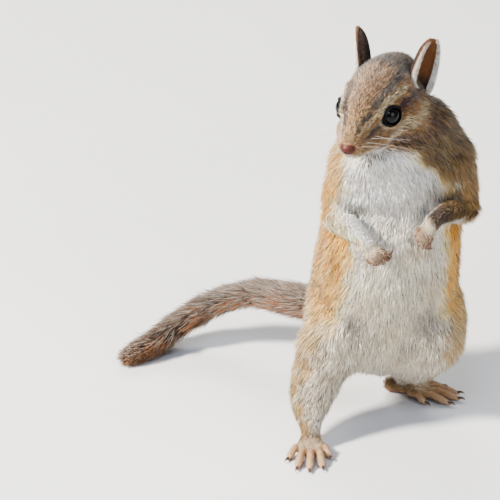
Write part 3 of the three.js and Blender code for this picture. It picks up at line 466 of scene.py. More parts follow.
def polygonise():
    rough_n = (COUNT - 1) // 4 + 1
    axes = [LO[k] + np.arange(rough_n[k]) * 4 * H for k in range(3)]
    grid = np.stack(np.meshgrid(*axes, indexing="ij"), -1).reshape(-1, 3)
    rough = skin(grid).reshape(rough_n)
    corners = [rough[i : rough_n[0] - 1 + i, j : rough_n[1] - 1 + j, k : rough_n[2] - 1 + k] for i in (0, 1) for j in (0, 1) for k in (0, 1)]
    low, high = np.min(corners, axis=0), np.max(corners, axis=0)
    reach = 4 * H * 1.5
    live = (low < reach) & (high > -reach)
    val = np.full(COUNT, 3 * H, np.float32)
    inside = np.repeat(np.repeat(np.repeat(high < 0, 4, 0), 4, 1), 4, 2)
    val[:-1, :-1, :-1][inside] = -3 * H
    mask = np.repeat(np.repeat(np.repeat(live, 4, 0), 4, 1), 4, 2)
    full = np.zeros(COUNT, bool)
    full[:-1, :-1, :-1] = mask
    full[1:, :-1, :-1] |= mask
    full[:, 1:, :-1] |= full[:, :-1, :-1]
    full[:, :, 1:] |= full[:, :, :-1]
    ids = np.argwhere(full)
    v = skin(LO + ids * H)
    val[ids[:, 0], ids[:, 1], ids[:, 2]] = np.clip(v, -3 * H, 3 * H)
    g = openvdb.FloatGrid(3 * H)
    g.copyFromArray(val)
    g.gridClass = openvdb.GridClass.LEVEL_SET
    pts, tris, quads = g.convertToPolygons(0.0, 0.0)
    pts = LO + np.asarray(pts, float) * H
    quads = np.asarray(quads, np.int64).reshape(-1, 4)
    tris = np.asarray(tris, np.int64).reshape(-1, 3)
    T = np.concatenate([quads[:, [0, 1, 2]], quads[:, [0, 2, 3]], tris])
    return pts, T


def settle(V, T, rounds=2, most=0.5):
    """Moves points on to the surface, along the mesh's own normals."""
    for _ in range(rounds):
        n = point_normals(V, T)
        d = skin(V)
        slope = np.clip((skin(V + 0.08 * n) - d) / 0.08, 0.35, 2.0)
        V = V - n * np.clip(d / slope, -most, most)[:, None]
        V[:, 2] = np.maximum(V[:, 2], 0.02)
    return V


def refine(V, T, pick):
    """Halves every edge of the triangles in pick, and splits their neighbours to match."""
    edges = np.sort(np.stack([T[:, [0, 1]], T[:, [1, 2]], T[:, [2, 0]]], 1), axis=2)
    code = edges[..., 0] * len(V) + edges[..., 1]
    marked = np.unique(code[pick])
    where = np.searchsorted(marked, code)
    where = np.minimum(where, len(marked) - 1)
    hit = marked[where] == code
    mids = 0.5 * (V[marked // len(V)] + V[marked % len(V)])
    new = len(V) + where
    out = [T[~hit.any(1)]]
    three = hit.all(1)
    t, n = T[three], new[three]
    out += [np.stack([t[:, 0], n[:, 0], n[:, 2]], 1), np.stack([t[:, 1], n[:, 1], n[:, 0]], 1), np.stack([t[:, 2], n[:, 2], n[:, 1]], 1), n]
    for k in range(3):
        only = hit[:, k] & ~hit[:, (k + 1) % 3] & ~hit[:, (k + 2) % 3]
        t, n = T[only], new[only]
        a, b, c = t[:, k], t[:, (k + 1) % 3], t[:, (k + 2) % 3]
        out += [np.stack([a, n[:, k], c], 1), np.stack([n[:, k], b, c], 1)]
        two = hit[:, k] & hit[:, (k + 1) % 3] & ~hit[:, (k + 2) % 3]
        t, n = T[two], new[two]
        a, b, c, m, q = t[:, k], t[:, (k + 1) % 3], t[:, (k + 2) % 3], n[:, k], n[:, (k + 1) % 3]
        out += [np.stack([m, b, q], 1), np.stack([a, m, q], 1), np.stack([a, q, c], 1)]
    return np.concatenate([V, mids]), np.concatenate(out)


def plain_mesh(name, V, T, smooth=True):
    mesh = bpy.data.meshes.new(name)
    mesh.vertices.add(len(V))
    mesh.vertices.foreach_set("co", np.asarray(V, np.float32).ravel())
    mesh.loops.add(T.size)
    mesh.loops.foreach_set("vertex_index", T.astype(np.int32).ravel())
    mesh.polygons.add(len(T))
    mesh.polygons.foreach_set("loop_start", np.arange(0, T.size, T.shape[1], dtype=np.int32))
    mesh.update(calc_edges=True)
    if smooth:
        mesh.polygons.foreach_set("use_smooth", np.ones(len(T), bool))
    return mesh


def place(V):
    return (V + SHIFT) * MM


def thinned(V, T, keep, ratio):
    """Collapses edges where keep is low, by Blender's own decimation."""
    mesh = plain_mesh("raw", V, T)
    ob = bpy.data.objects.new("raw", mesh)
    bpy.context.scene.collection.objects.link(ob)
    group = ob.vertex_groups.new(name="keep")
    for level in (0.0, 0.5, 1.0):
        ids = np.flatnonzero(keep == level).tolist()
        if level and ids:
            group.add(ids, level, "REPLACE")
    m = ob.modifiers.new("thin", "DECIMATE")
    m.ratio, m.vertex_group, m.invert_vertex_group, m.vertex_group_factor = ratio, "keep", True, 3.0
    dg = bpy.context.evaluated_depsgraph_get()
    made = ob.evaluated_get(dg).to_mesh()
    made.calc_loop_triangles()
    W = np.empty(len(made.vertices) * 3, np.float32)
    made.vertices.foreach_get("co", W)
    F = np.empty(len(made.loop_triangles) * 3, np.int32)
    made.loop_triangles.foreach_get("vertices", F)
    ob.evaluated_get(dg).to_mesh_clear()
    bpy.data.objects.remove(ob)
    bpy.data.meshes.remove(mesh)
    return W.reshape(-1, 3).astype(float), F.reshape(-1, 3).astype(np.int64)


# ------------------------------------------------------------------ which part a point is on, and how the coat lies there
FLOW = [(n, c) for n, g in GROUPS.items() for c in g]
NAMES = sorted({c.name for _, c in FLOW} | {"ear_l", "ear_r"})
CODE = {n: i for i, n in enumerate(NAMES)}


def survey(P):
    """For each point: the part it is on, the lie of the coat, the coat's depth, the place round and along the part, and the nearest chain."""
    n = len(P)
    near_d = np.full(n, FAR)
    part = np.zeros(n, int)
    chain_id = np.zeros(n, int)
    round_, along = np.zeros(n), np.zeros(n)
    total, lie, depth = np.zeros(n), np.zeros((n, 3)), np.zeros(n)
    for ids in cells(P, 12.0):
        Q = P[ids]
        lo, hi = Q.min(0), Q.max(0)
        m = len(Q)
        best = []
        for i, (_, c) in enumerate(FLOW):
            if not near(c.lo, c.hi, lo, hi, 8):
                continue
            d = np.full(m, FAR)
            rec = np.zeros((m, 6))  # direction, coat, round, along
            for g in c.close(lo, hi, 8):
                e, t, u, v = span_field(g, Q)
                hit = e < d
                d[hit] = e[hit]
                rec[hit, :3] = g[3]
                rec[hit, 3] = (g[0][5] + (g[1][5] - g[0][5]) * t)[hit]
                rec[hit, 4] = np.arctan2(v, u)[hit]
                rec[hit, 5] = ((g[8] + t * g[2]) / c.length)[hit]
            if c.flow == "head":
                q = Q - EYE_MID
                h, w = q @ HU, q @ HL
                rec[:, :3] = -HF + HU * (-0.10 - 0.30 * np.clip(-h / 10, 0, 1))[:, None] + HL * (0.10 * np.sign(w))[:, None]
            elif c.flow == "thigh":
                rec[:, :3] = rec[:, :3] * 0.25 + np.array([0, 0.05, -1.0])
            elif c.flow == -1:
                rec[:, :3] *= -1
            best.append((i, d, rec))
        if not best:
            continue
        D = np.stack([b[1] for b in best])
        low = D.min(0)
        pick = D.argmin(0)
        wsum, dsum, csum = np.zeros(m), np.zeros((m, 3)), np.zeros(m)
        for i, d, rec in best:
            wt = np.exp(-np.clip(d - low, 0, 30) / 1.7)
            wsum += wt
            dsum += rec[:, :3] * wt[:, None]
            csum += rec[:, 3] * wt
        total[ids] = wsum
        lie[ids] = dsum / wsum[:, None]
        depth[ids] = csum / wsum
        near_d[ids] = low
        for j, (i, d, rec) in enumerate(best):
            mine = pick == j
            k = ids[mine]
            part[k] = CODE[FLOW[i][1].name]
            chain_id[k] = i
            round_[k] = rec[mine, 4]
            along[k] = rec[mine, 5]
    for name, ear in EARS.items():
        d = ear.field(P)
        u, t, o = ear.local(P)
        # the ear takes over where its shell is nearer than anything else
        mine = (d < 0.6) & ((d < near_d - 0.15) | (near_d > 0.7))
        part[mine] = CODE[name]
        chain_id[mine] = 1000
        lie[mine] = ear.t + 0.25 * np.sign(u[mine])[:, None] * ear.w
        depth[mine] = 0.5
        round_[mine] = np.arctan2(u, -o)[mine]
        along[mine] = np.clip((t[mine] + 10) / 21, 0, 1)
    return {"part": part, "chain": chain_id, "lie": lie, "depth": depth, "round": round_, "along": along}


# ------------------------------------------------------------------ the markings
def srgb(r, g, b):
    return np.array([r, g, b], float)


def linear(c):
    c = np.clip(c, 0, 1)
    return np.where(c < 0.04045, c / 12.92, ((c + 0.055) / 1.055) ** 2.4)


def step(x, a, b):
    t = np.clip((x - a) / (b - a), 0, 1)
    return t * t * (3 - 2 * t)


def band(x, mid, half, soft):
    return 1 - step(np.abs(x - mid), half - soft * 0.5, half + soft * 0.5)


def mix(a, b, k):
    return a + (b - a) * np.asarray(k)[:, None]


WAVES = np.random.default_rng(5)


def ripples(size, count=14):
    """A smooth field of about the given grain, as a sum of waves."""
    k = unit(WAVES.normal(size=(count, 3))) * (2 * math.pi / size) * WAVES.uniform(0.6, 1.5, (count, 1))
    phase = WAVES.uniform(0, 2 * math.pi, count)

    def f(P):
        return np.sin(P @ k.T + phase).sum(1) / math.sqrt(count / 2) * 0.7

    return f


COARSE, MIDDLE, FINE = ripples(16), ripples(6.5), ripples(2.6)

WHITE, CREAM, TAWNY, GOLD = srgb(0.93, 0.915, 0.885), srgb(0.86, 0.79, 0.66), srgb(0.77, 0.53, 0.28), srgb(0.83, 0.64, 0.38)
OLIVE, BROWN, DARK, PALE = srgb(0.50, 0.40, 0.27), srgb(0.42, 0.29, 0.18), srgb(0.13, 0.10, 0.085), srgb(0.80, 0.75, 0.66)
GREY, SLATE, RUFOUS, TAN = srgb(0.56, 0.54, 0.52), srgb(0.30, 0.28, 0.27), srgb(0.60, 0.36, 0.18), srgb(0.69, 0.56, 0.41)

TRUNK_T = np.array(TRUNK)
CRAN_T = np.array(CRANIUM)[::1]


def head_colour(P):
    """Main colour, and the share of hairs with a dark tip."""
    q = P - EYE_MID
    s, w, h = q @ HF, q @ HL, q @ HU
    a = np.interp(s, CRAN_T[:, 0], CRAN_T[:, 3])
    b = np.interp(s, CRAN_T[:, 0], CRAN_T[:, 4])
    hc = np.interp(s, CRAN_T[:, 0], CRAN_T[:, 2])
    e = np.degrees(np.arctan2((h - hc) / b, np.abs(w) / a))
    e = e + 2.2 * MIDDLE(P) + 1.4 * FINE(P)
    crown = mix(np.tile(srgb(0.76, 0.56, 0.34), (len(P), 1)), srgb(0.76, 0.61, 0.42), step(s, 2, 13))
    crown = mix(crown, srgb(0.46, 0.36, 0.25), step(-s, 11, 18))
    tick = 0.60 - 0.22 * step(s, 4, 14) + 0.30 * step(-s, 10, 15)
    c = crown
    # the side of the head
    side = mix(np.tile(srgb(0.64, 0.47, 0.27), (len(P), 1)), srgb(0.58, 0.43, 0.23), step(-s, 4, 16))
    below = 1 - step(e, 26, 38)
    c = mix(c, side, below)
    tick = tick * (1 - 0.45 * below)
    # dark line at the side of the crown, from the nose over the eye to the ear
    k = band(e, np.interp(s, [-16, -10, 0, 6, 11, 15], [50, 51, 48, 50, 56, 50]), np.interp(s, [-14, 0, 13], [6.5, 6.5, 9]), 6) * step(-s, -15, -12) * (1 - step(-s, 12, 17))
    c = mix(c, srgb(0.17, 0.12, 0.09), np.clip(0.50 + 0.45 * FINE(P * 1.3), 0, 0.85) * k)
    tick = tick + 0.3 * k
    # pale line over the eye
    k = band(e, np.interp(s, [-14, -3, 3, 9], [28, 31, 37, 34]), np.interp(s, [-14, -2, 4, 10], [4, 6, 6.5, 5]), 5) * step(s, -14, -9) * (1 - step(s, 8, 12))
    c = mix(c, srgb(0.90, 0.80, 0.62), 0.92 * k)
    # dark line through the eye, rufous behind it
    k = band(e, np.interp(s, [-15, -3, 3, 12], [9, 10, 8, 12]), np.interp(s, [-15, -3, 3, 12], [8, 7, 5, 5]), 5) * (1 - step(s, 10, 14)) * step(s, -18, -15)
    c = mix(c, srgb(0.46, 0.27, 0.14), 0.9 * k)
    k2 = band(e, np.interp(s, [-15, -3, 3, 12], [13, 11, 9, 13]), np.interp(s, [-15, -3, 3, 12], [2, 3, 3.4, 3]), 3) * (1 - step(s, 10, 13)) * step(s, -16, -12)
    c = mix(c, srgb(0.15, 0.10, 0.08), 0.85 * k2)
    # pale line under the eye, up to the foot of the ear
    k = band(e, np.interp(s, [-16, -4, 0, 6, 11], [-12, -17, -25, -24, -22]), np.interp(s, [-16, -5, 0, 10], [4.5, 5, 7.5, 5]), 5) * step(s, -19, -15) * (1 - step(s, 3, 8))
    c = mix(c, srgb(0.88, 0.79, 0.63), np.interp(s, [-12, -2], [0.68, 0.95]) * k)
    # brown line under that
    k = band(e, np.interp(s, [-14, -6, 5, 9], [-36, -38, -36, -33]), np.interp(s, [-14, 0, 8], [8.5, 6.5, 4]), 7) * step(s, -19, -14) * (1 - step(s, 7, 11))
    c = mix(c, srgb(0.47, 0.31, 0.18), 0.82 * k)
    tick = tick + 0.25 * k
    # cheek, fading to a white throat and chin
    k = 1 - step(e, -62, -46)
    c = mix(c, WHITE, k * step(s, -13, -2))
    c = mix(c, srgb(0.72, 0.64, 0.50), k * (1 - step(s, -13, -2)))
    tick = tick * (1 - k)
    lip = step(s, 6, 10) * (1 - step(h, -7.2, -5.0))
    c = mix(c, srgb(0.86, 0.80, 0.72), lip * 0.9)
    pad = step(s, 8, 12) * step(h, -6.5, -5) * (1 - step(h, -3.2, -1.6))
    c = mix(c, srgb(0.72, 0.58, 0.44), 0.7 * pad)
    # ring of pale, then dark, round the eye
    for sd in (1, -1):
        ap, ax, rho = aperture(P, sd)
        on = (ax > -1.5) & (rho < 7)
        axis, slit, up = eye_frame(sd)
        qq = P - eye_at(sd)
        u, v = qq @ slit, qq @ up
        ring = np.where(on, 1 - step(ap, 1.35, 2.3), 0)
        c = mix(c, srgb(0.88, 0.77, 0.60), ring * (1 - step(-u, 1.6, 3.0)) * 0.95)
        dark = np.where(on, 1 - step(ap, 0.75, 1.35), 0)
        c = mix(c, srgb(0.10, 0.075, 0.065), np.where(on & (ap < 1.5), dark, 0))
        tick = tick * (1 - ring)
    # warm patch at the front foot of each ear
    for ear in EARS.values():
        k = 1 - step(np.linalg.norm(P - in_head(-12.2, 8.8 * ear.side, 5.4), axis=1), 1.6, 3.8)
        c = mix(c, srgb(0.72, 0.47, 0.24), 0.75 * k)
    nape = step(-s, 15, 21)
    c = mix(c, srgb(0.46, 0.36, 0.22), nape * 0.8)
    return c, np.clip(tick, 0, 1)


def trunk_colour(P):
    z = P[:, 2]
    cx, cy = np.interp(z, TRUNK_T[:, 2], TRUNK_T[:, 0]), np.interp(z, TRUNK_T[:, 2], TRUNK_T[:, 1])
    rx = np.interp(z, TRUNK_T[:, 2], TRUNK_T[:, 3])
    dx, dy = P[:, 0] - cx, P[:, 1] - cy
    turn = math.radians(3.0)
    lat, ven = dx * math.cos(turn) + dy * math.sin(turn), -dy * math.cos(turn) + dx * math.sin(turn)
    th = np.degrees(np.arctan2(np.abs(lat), ven)) + 2.6 * MIDDLE(P) + 2.0 * FINE(P)
    n = len(P)
    left = lat > 0
    # where the white of the belly ends
    edge = np.where(left, np.interp(z, [25, 45, 60, 80, 88, 96, 102], [42, 47, 50, 48, 34, 12, 2]), np.interp(z, [25, 45, 60, 75, 88, 96], [40, 40, 38, 54, 62, 68]))
    # the lower belly turns beige: partly its own buff tone, partly painted shade
    belly = mix(np.tile(srgb(0.97, 0.955, 0.93), (n, 1)), srgb(0.90, 0.865, 0.79), 1 - step(z, 50, 82))
    belly = mix(belly, srgb(0.83, 0.77, 0.66), np.clip(0.55 * COARSE(P + 3) * (1 - step(z, 62, 82)), 0, 1))
    belly = mix(belly, srgb(0.80, 0.79, 0.78), np.clip(0.35 * MIDDLE(P * 0.9), 0, 1) * 0.6)
    # grey streaks down the left of the chest: partings in the coat, painted grey as shade on this side only; grey
    # underfur and painted shade in the creases where the thighs meet the belly
    streak = np.clip(0.35 + 0.5 * MIDDLE(P * np.array([1.5, 1.5, 0.45])), 0, 1) * step(z, 66, 76) * (1 - step(z, 92, 99)) * left * step(th, 4, 16)
    belly = mix(belly, srgb(0.46, 0.46, 0.46), 0.75 * streak)
    for at, size, k in (((-10.2, -18.0, 38.5), (4.6, 7.0, 6.8), 0.9), ((14.2, -16.5, 39.0), (7.0, 8.0, 7.8), 0.8), ((8.0, -16.0, 30.0), (5.0, 7.0, 4.0), 0.45)):
        r = np.linalg.norm((P - np.array(at)) / np.array(size), axis=1)
        belly = mix(belly, srgb(0.50, 0.47, 0.44), k * (1 - step(r, 0.4, 1.1)) * np.clip(0.65 + 0.5 * FINE(P * 1.2), 0, 1))
    flank = mix(np.tile(srgb(0.86, 0.60, 0.25), (n, 1)), srgb(0.94, 0.76, 0.42), np.clip(0.5 + 0.5 * MIDDLE(P + 9), 0, 1))
    # on the shoulders the left side's darker olive is painted shade and the right side's paler gold is painted light
    flank = mix(flank, np.where(left[:, None], srgb(0.50, 0.385, 0.21), srgb(0.80, 0.62, 0.36)), step(z, 74, 90))
    flank = mix(flank, srgb(0.84, 0.70, 0.46), 1 - step(z, 34, 50))
    back = mix(np.tile(srgb(0.47, 0.38, 0.28), (n, 1)), srgb(0.50, 0.45, 0.38), 1 - step(z, 34, 48))
    c = mix(belly, srgb(0.94, 0.86, 0.68), step(th, edge - 9, edge + 1))
    c = mix(c, flank, step(th, edge - 2, edge + 9))
    c = mix(c, mix(np.tile(BROWN, (n, 1)), flank, 0.45 * np.ones(n)), step(th, 104, 120))
    tick = 0.05 + 0.20 * step(th, edge + 6, edge + 30) + 0.18 * step(z, 82, 94) * step(th, edge, edge + 10)
    # five dark and four pale lines down the back, laid out in mm from its middle
    m = (180 - th) * math.pi / 180 * rx
    on = step(z, 36, 46) * (1 - step(z, 101, 109))
    c = mix(c, back, 1 - step(m, 17, 21))
    for mid, half, colour, k in (
        (0.0, 1.7, srgb(0.12, 0.085, 0.07), 0.95),
        (4.0, 1.6, srgb(0.66, 0.56, 0.43), 0.9),
        (7.8, 1.7, srgb(0.16, 0.11, 0.08), 0.92),
        (11.6, 1.7, srgb(0.80, 0.74, 0.63), 0.95),
        (15.3, 1.6, srgb(0.24, 0.16, 0.11), 0.85),
    ):
        c = mix(c, colour, band(m, mid, half, 1.1) * k * on)
    tick = tick * (1 - 0.6 * on * (1 - step(m, 16, 20)))
    return c, tick


def colours(P, N, info):
    """The main colour at each point and the share of dark-tipped hairs."""
    n = len(P)
    part = info["part"]
    c, tick = trunk_colour(P)
    hc, ht = head_colour(P)
    q = P - EYE_MID
    s, w, h = q @ HF, q @ HL, q @ HU
    # the head's pattern runs into the neck
    onto = step(s, -21, -15)
    under = np.clip(step(s, -21, -15) * step(h, -15, -11), 0, 1)
    k = np.where(part == CODE["head"], np.maximum(onto, 0.0), under)
    c, tick = mix(c, hc, k), tick + (ht - tick) * k
    front, out = -N[:, 1], np.abs(N[:, 0])
    patch = np.clip(0.5 + 0.55 * MIDDLE(P * 1.1 + 4), 0, 1)
    for side in ("l", "r"):
        sg = 1 if side == "l" else -1
        # arms: olive and gold outside, white inside and below; the left arm's darker olive and brown, and its extra
        # dark tips, are painted shade, and the right arm's gold and cream are painted light
        for name in ("arm_" + side, "forearm_" + side):
            m = part == CODE[name]
            if side == "l":
                lit = N[m, 2] * 0.8 + N[m, 0] * 0.75 + 0.15 * MIDDLE(P[m])
                outer = srgb(0.60, 0.47, 0.30) if "fore" not in name else mix(np.tile(srgb(0.58, 0.46, 0.29), (m.sum(), 1)), srgb(0.40, 0.33, 0.28), step(info["along"][m], 0.35, 0.9))
            else:
                lit = -N[m, 0] * 1.2 - N[m, 1] * -0.5 - 0.15 + 0.15 * MIDDLE(P[m])
                outer = srgb(0.80, 0.64, 0.38) if "fore" not in name else srgb(0.93, 0.87, 0.74)
            white = srgb(0.94, 0.92, 0.88)
            cc = white + (outer - white) * step(lit, -0.25, 0.35)[:, None]
            kk = 1.0 if "fore" in name else 0.6
            c[m] = mix(c[m], cc, np.full(m.sum(), kk))
            if side == "l":
                r = np.linalg.norm((P[m] - np.array([20.0, -14.0, 83.5])) / np.array([5.5, 9.0, 2.6]), axis=1)
                c[m] = mix(c[m], white, (1 - step(r, 0.6, 1.15)) * (part[m] == CODE["arm_l"]))
            tick[m] = (0.22 if side == "l" else 0.08) * step(lit, 0, 0.4)
        m = part == CODE["hand_" + side]
        c[m] = mix(np.tile(srgb(0.90, 0.83, 0.73), (m.sum(), 1)), srgb(0.55, 0.42, 0.32), step(info["along"][m] + 0.12 * MIDDLE(P[m]), 0.45, 1.0) * 0.6)
        if side == "l":
            # the brown on the wrist side of the left hand is painted shade, as on the left forearm
            c[m] = mix(c[m], srgb(0.40, 0.31, 0.26), step(P[m, 0] + 0.4 * (77 - P[m, 2]), 14.8, 17.2) * 0.8)
        tick[m] = 0.04
        # legs: cream in front, gold-brown outside, grey behind
        for name in ("thigh_" + side, "shank_" + side):
            m = part == CODE[name]
            o = N[m, 0] * sg
            cc = mix(np.tile(srgb(0.92, 0.885, 0.82), (m.sum(), 1)), srgb(0.80, 0.67, 0.48), step(o + 0.25 * MIDDLE(P[m]), 0.30, 0.85))
            cc = mix(cc, srgb(0.52, 0.44, 0.34), step(N[m, 1] + 0.2 * MIDDLE(P[m]), 0.1, 0.6))
            cc = mix(cc, srgb(0.66, 0.58, 0.48), 0.42 * patch[m] * (o < 0.6))
            c[m] = mix(c[m], cc, 0.35 + 0.65 * (1 - step(P[m, 2], 26, 42)))
            tick[m] = np.maximum(tick[m], 0.10 + 0.14 * step(o, 0.2, 0.8))
        m = part == CODE["foot_" + side]
        c[m] = mix(np.tile(srgb(0.70, 0.58, 0.44), (m.sum(), 1)), srgb(0.84, 0.76, 0.65), step(info["along"][m], 0.45, 0.9))
        tick[m] = 0.06
    m = part == CODE["throat"]
    c[m] = mix(c[m], srgb(0.97, 0.955, 0.93), np.full(m.sum(), 0.8) * (1 - step(np.abs(P[m, 0] + 5.5), 7, 12)))
    m = part == CODE["tail"]
    up = N[m, 2]
    cc = mix(np.tile(srgb(0.66, 0.42, 0.23), (m.sum(), 1)), srgb(0.30, 0.24, 0.20), step(up, -0.25, 0.45))
    root = 1 - step(info["along"][m], 0.05, 0.16)
    c[m] = mix(cc, c[m], 0.7 * root)
    tick[m] = 0.30 * (1 - root)
    for name, ear in EARS.items():
        m = part == CODE[name]
        u, t, o = ear.local(P[m])
        # N towards the opening is the inside
        inside = step(N[m] @ ear.o, -0.15, 0.25) * (1 - step(o, -0.5, 0.2))
        # dusky in front and pale grey behind, with a whitish edge
        cc = mix(np.tile(srgb(0.24, 0.17, 0.13), (m.sum(), 1)), srgb(0.66, 0.63, 0.62), step(u * ear.side, -0.6, 1.8))
        # the hollow is brown, darkened to near black towards its base as painted shade
        hollow = mix(np.tile(srgb(0.52, 0.34, 0.20), (m.sum(), 1)), srgb(0.14, 0.09, 0.07), 1 - step(t, -6.0, -0.5))
        cc = mix(cc, hollow, inside)
        rim = step(o, -0.38, -0.02)
        cc = mix(cc, srgb(0.94, 0.90, 0.84), rim * 0.95)
        c[m] = cc
        tick[m] = 0.12
    return np.clip(c, 0, 1), np.clip(tick, 0, 1)


# ------------------------------------------------------------------ materials
def node_material(name):
    mat = bpy.data.materials.new(name)
    mat.use_nodes = True
    tree = mat.node_tree
    return mat, tree, tree.nodes["Principled BSDF"]


def fur_material(name, grain=900.0, rough=0.62, sheen=0.25):
    """The hairs' own colours, with a little fine variation from hair to hair."""
    mat, tree, bsdf = node_material(name)
    nodes, link = tree.nodes, tree.links.new
    col = nodes.new("ShaderNodeAttribute")
    col.attribute_name = "Col"
    co = nodes.new("ShaderNodeTexCoord")
    noise = nodes.new("ShaderNodeTexNoise")
    noise.inputs["Scale"].default_value = grain
    noise.inputs["Detail"].default_value = 2.0
    ramp = nodes.new("ShaderNodeValToRGB")
    ramp.color_ramp.elements[0].position, ramp.color_ramp.elements[1].position = 0.30, 0.70
    ramp.color_ramp.elements[0].color = (0.80, 0.79, 0.78, 1)
    ramp.color_ramp.elements[1].color = (1.0, 1.0, 1.0, 1)
    mul = nodes.new("ShaderNodeMix")
    mul.data_type, mul.blend_type = "RGBA", "MULTIPLY"
    mul.inputs["Factor"].default_value = 1.0
    link(co.outputs["Object"], noise.inputs["Vector"])
    link(noise.outputs["Fac"], ramp.inputs["Fac"])
    link(col.outputs["Color"], mul.inputs["A"])
    link(ramp.outputs["Color"], mul.inputs["B"])
    link(mul.outputs["Result"], bsdf.inputs["Base Color"])
    bsdf.inputs["Roughness"].default_value = rough
    bsdf.inputs["Specular IOR Level"].default_value = 0.28
    bsdf.inputs["Sheen Weight"].default_value = sheen
    bsdf.inputs["Sheen Roughness"].default_value = 0.45
    bsdf.inputs["Sheen Tint"].default_value = (1.0, 0.95, 0.88, 1)
    return mat


def skin_material():
    """Bare skin with fine creases where the tufts leave it open, and short flat fur elsewhere."""
    mat, tree, bsdf = node_material("skin")
    nodes, link = tree.nodes, tree.links.new
    col = nodes.new("ShaderNodeAttribute")
    col.attribute_name = "Col"
    bare = nodes.new("ShaderNodeAttribute")
    bare.attribute_name = "Bare"
    co = nodes.new("ShaderNodeTexCoord")
    noise = nodes.new("ShaderNodeTexNoise")
    noise.inputs["Scale"].default_value = 1400.0
    noise.inputs["Detail"].default_value = 4.0
    pores = nodes.new("ShaderNodeTexVoronoi")
    pores.inputs["Scale"].default_value = 1500.0
    ramp = nodes.new("ShaderNodeValToRGB")
    ramp.color_ramp.elements[0].position, ramp.color_ramp.elements[1].position = 0.3, 0.75
    ramp.color_ramp.elements[0].color = (0.72, 0.68, 0.66, 1)
    ramp.color_ramp.elements[1].color = (1.0, 1.0, 1.0, 1)
    mul = nodes.new("ShaderNodeMix")
    mul.data_type, mul.blend_type = "RGBA", "MULTIPLY"
    mul.inputs["Factor"].default_value = 0.8
    height = nodes.new("ShaderNodeMix")
    height.data_type = "FLOAT"
    bump = nodes.new("ShaderNodeBump")
    bump.inputs["Strength"].default_value = 0.45
    bump.inputs["Distance"].default_value = 0.00018
    rough = nodes.new("ShaderNodeMapRange")
    rough.inputs["To Min"].default_value, rough.inputs["To Max"].default_value = 0.72, 0.46
    for n in (noise, pores):
        link(co.outputs["Object"], n.inputs["Vector"])
    link(noise.outputs["Fac"], ramp.inputs["Fac"])
    link(col.outputs["Color"], mul.inputs["A"])
    link(ramp.outputs["Color"], mul.inputs["B"])
    link(mul.outputs["Result"], bsdf.inputs["Base Color"])
    link(bare.outputs["Fac"], height.inputs["Factor"])
    link(noise.outputs["Fac"], height.inputs["A"])
    link(pores.outputs["Distance"], height.inputs["B"])
    link(height.outputs["Result"], bump.inputs["Height"])
    link(bump.outputs["Normal"], bsdf.inputs["Normal"])
    link(bare.outputs["Fac"], rough.inputs["Value"])
    link(rough.outputs["Result"], bsdf.inputs["Roughness"])
    bsdf.inputs["Specular IOR Level"].default_value = 0.2
    bsdf.inputs["Sheen Weight"].default_value = 0.02
    return mat


def eye_material():
    """Near-black iris round a wide pupil, under a wet surface."""
    mat, tree, bsdf = node_material("eye_wet")
    nodes, link = tree.nodes, tree.links.new
    ring = nodes.new("ShaderNodeAttribute")
    ring.attribute_name = "Ring"
    co = nodes.new("ShaderNodeTexCoord")
    noise = nodes.new("ShaderNodeTexNoise")
    noise.inputs["Scale"].default_value = 1600.0
    noise.inputs["Detail"].default_value = 3.0
    shift = nodes.new("ShaderNodeMath")
    shift.operation = "MULTIPLY_ADD"
    shift.inputs[1].default_value = 0.10
    ramp = nodes.new("ShaderNodeValToRGB")
    cr = ramp.color_ramp
    cr.elements[0].position, cr.elements[0].color = 0.0, (0.0012, 0.001, 0.001, 1)
    cr.elements[1].position, cr.elements[1].color = 1.0, (0.010, 0.006, 0.004, 1)
    for at, c in ((0.42, (0.0016, 0.0012, 0.001, 1)), (0.56, (0.006, 0.003, 0.0018, 1)), (0.80, (0.007, 0.0035, 0.002, 1)), (0.90, (0.002, 0.0015, 0.001, 1))):
        e = cr.elements.new(at)
        e.color = c
    link(co.outputs["Object"], noise.inputs["Vector"])
    link(noise.outputs["Fac"], shift.inputs[0])
    link(ring.outputs["Fac"], shift.inputs[2])
    link(shift.outputs["Value"], ramp.inputs["Fac"])
    link(ramp.outputs["Color"], bsdf.inputs["Base Color"])
    bsdf.inputs["Roughness"].default_value = 0.05
    bsdf.inputs["IOR"].default_value = 1.37
    bsdf.inputs["Specular IOR Level"].default_value = 0.42
    return mat


def streak_material(name, c0, c1, rough, scale, coat=0.0):
    mat, tree, bsdf = node_material(name)
    nodes, link = tree.nodes, tree.links.new
    co = nodes.new("ShaderNodeTexCoord")
    noise = nodes.new("ShaderNodeTexNoise")
    noise.inputs["Scale"].default_value = scale
    noise.inputs["Detail"].default_value = 3.0
    ramp = nodes.new("ShaderNodeValToRGB")
    ramp.color_ramp.elements[0].position, ramp.color_ramp.elements[1].position = 0.3, 0.7
    ramp.color_ramp.elements[0].color, ramp.color_ramp.elements[1].color = (*c0, 1), (*c1, 1)
    link(co.outputs["Object"], noise.inputs["Vector"])
    link(noise.outputs["Fac"], ramp.inputs["Fac"])
    link(ramp.outputs["Color"], bsdf.inputs["Base Color"])
    bsdf.inputs["Roughness"].default_value = rough
    bsdf.inputs["Coat Weight"].default_value = coat
    return mat


def piece(name, mesh, mat, slot, *nodes):
    ob = bpy.data.objects.new(name, mesh)
    mesh.materials.append(mat)
    bpy.context.scene.collection.objects.link(ob)
    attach(ob, "root")
    if nodes:
        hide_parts(*nodes)
    return ob


def paint(mesh, name, values):
    values = np.asarray(values, np.float32)
    rgba = np.ones((len(values), 4), np.float32)
    rgba[:, :3] = values if values.ndim == 2 else values[:, None]
    layer = mesh.color_attributes.new(name, "FLOAT_COLOR", "POINT")
    layer.data.foreach_set("color", rgba.ravel())


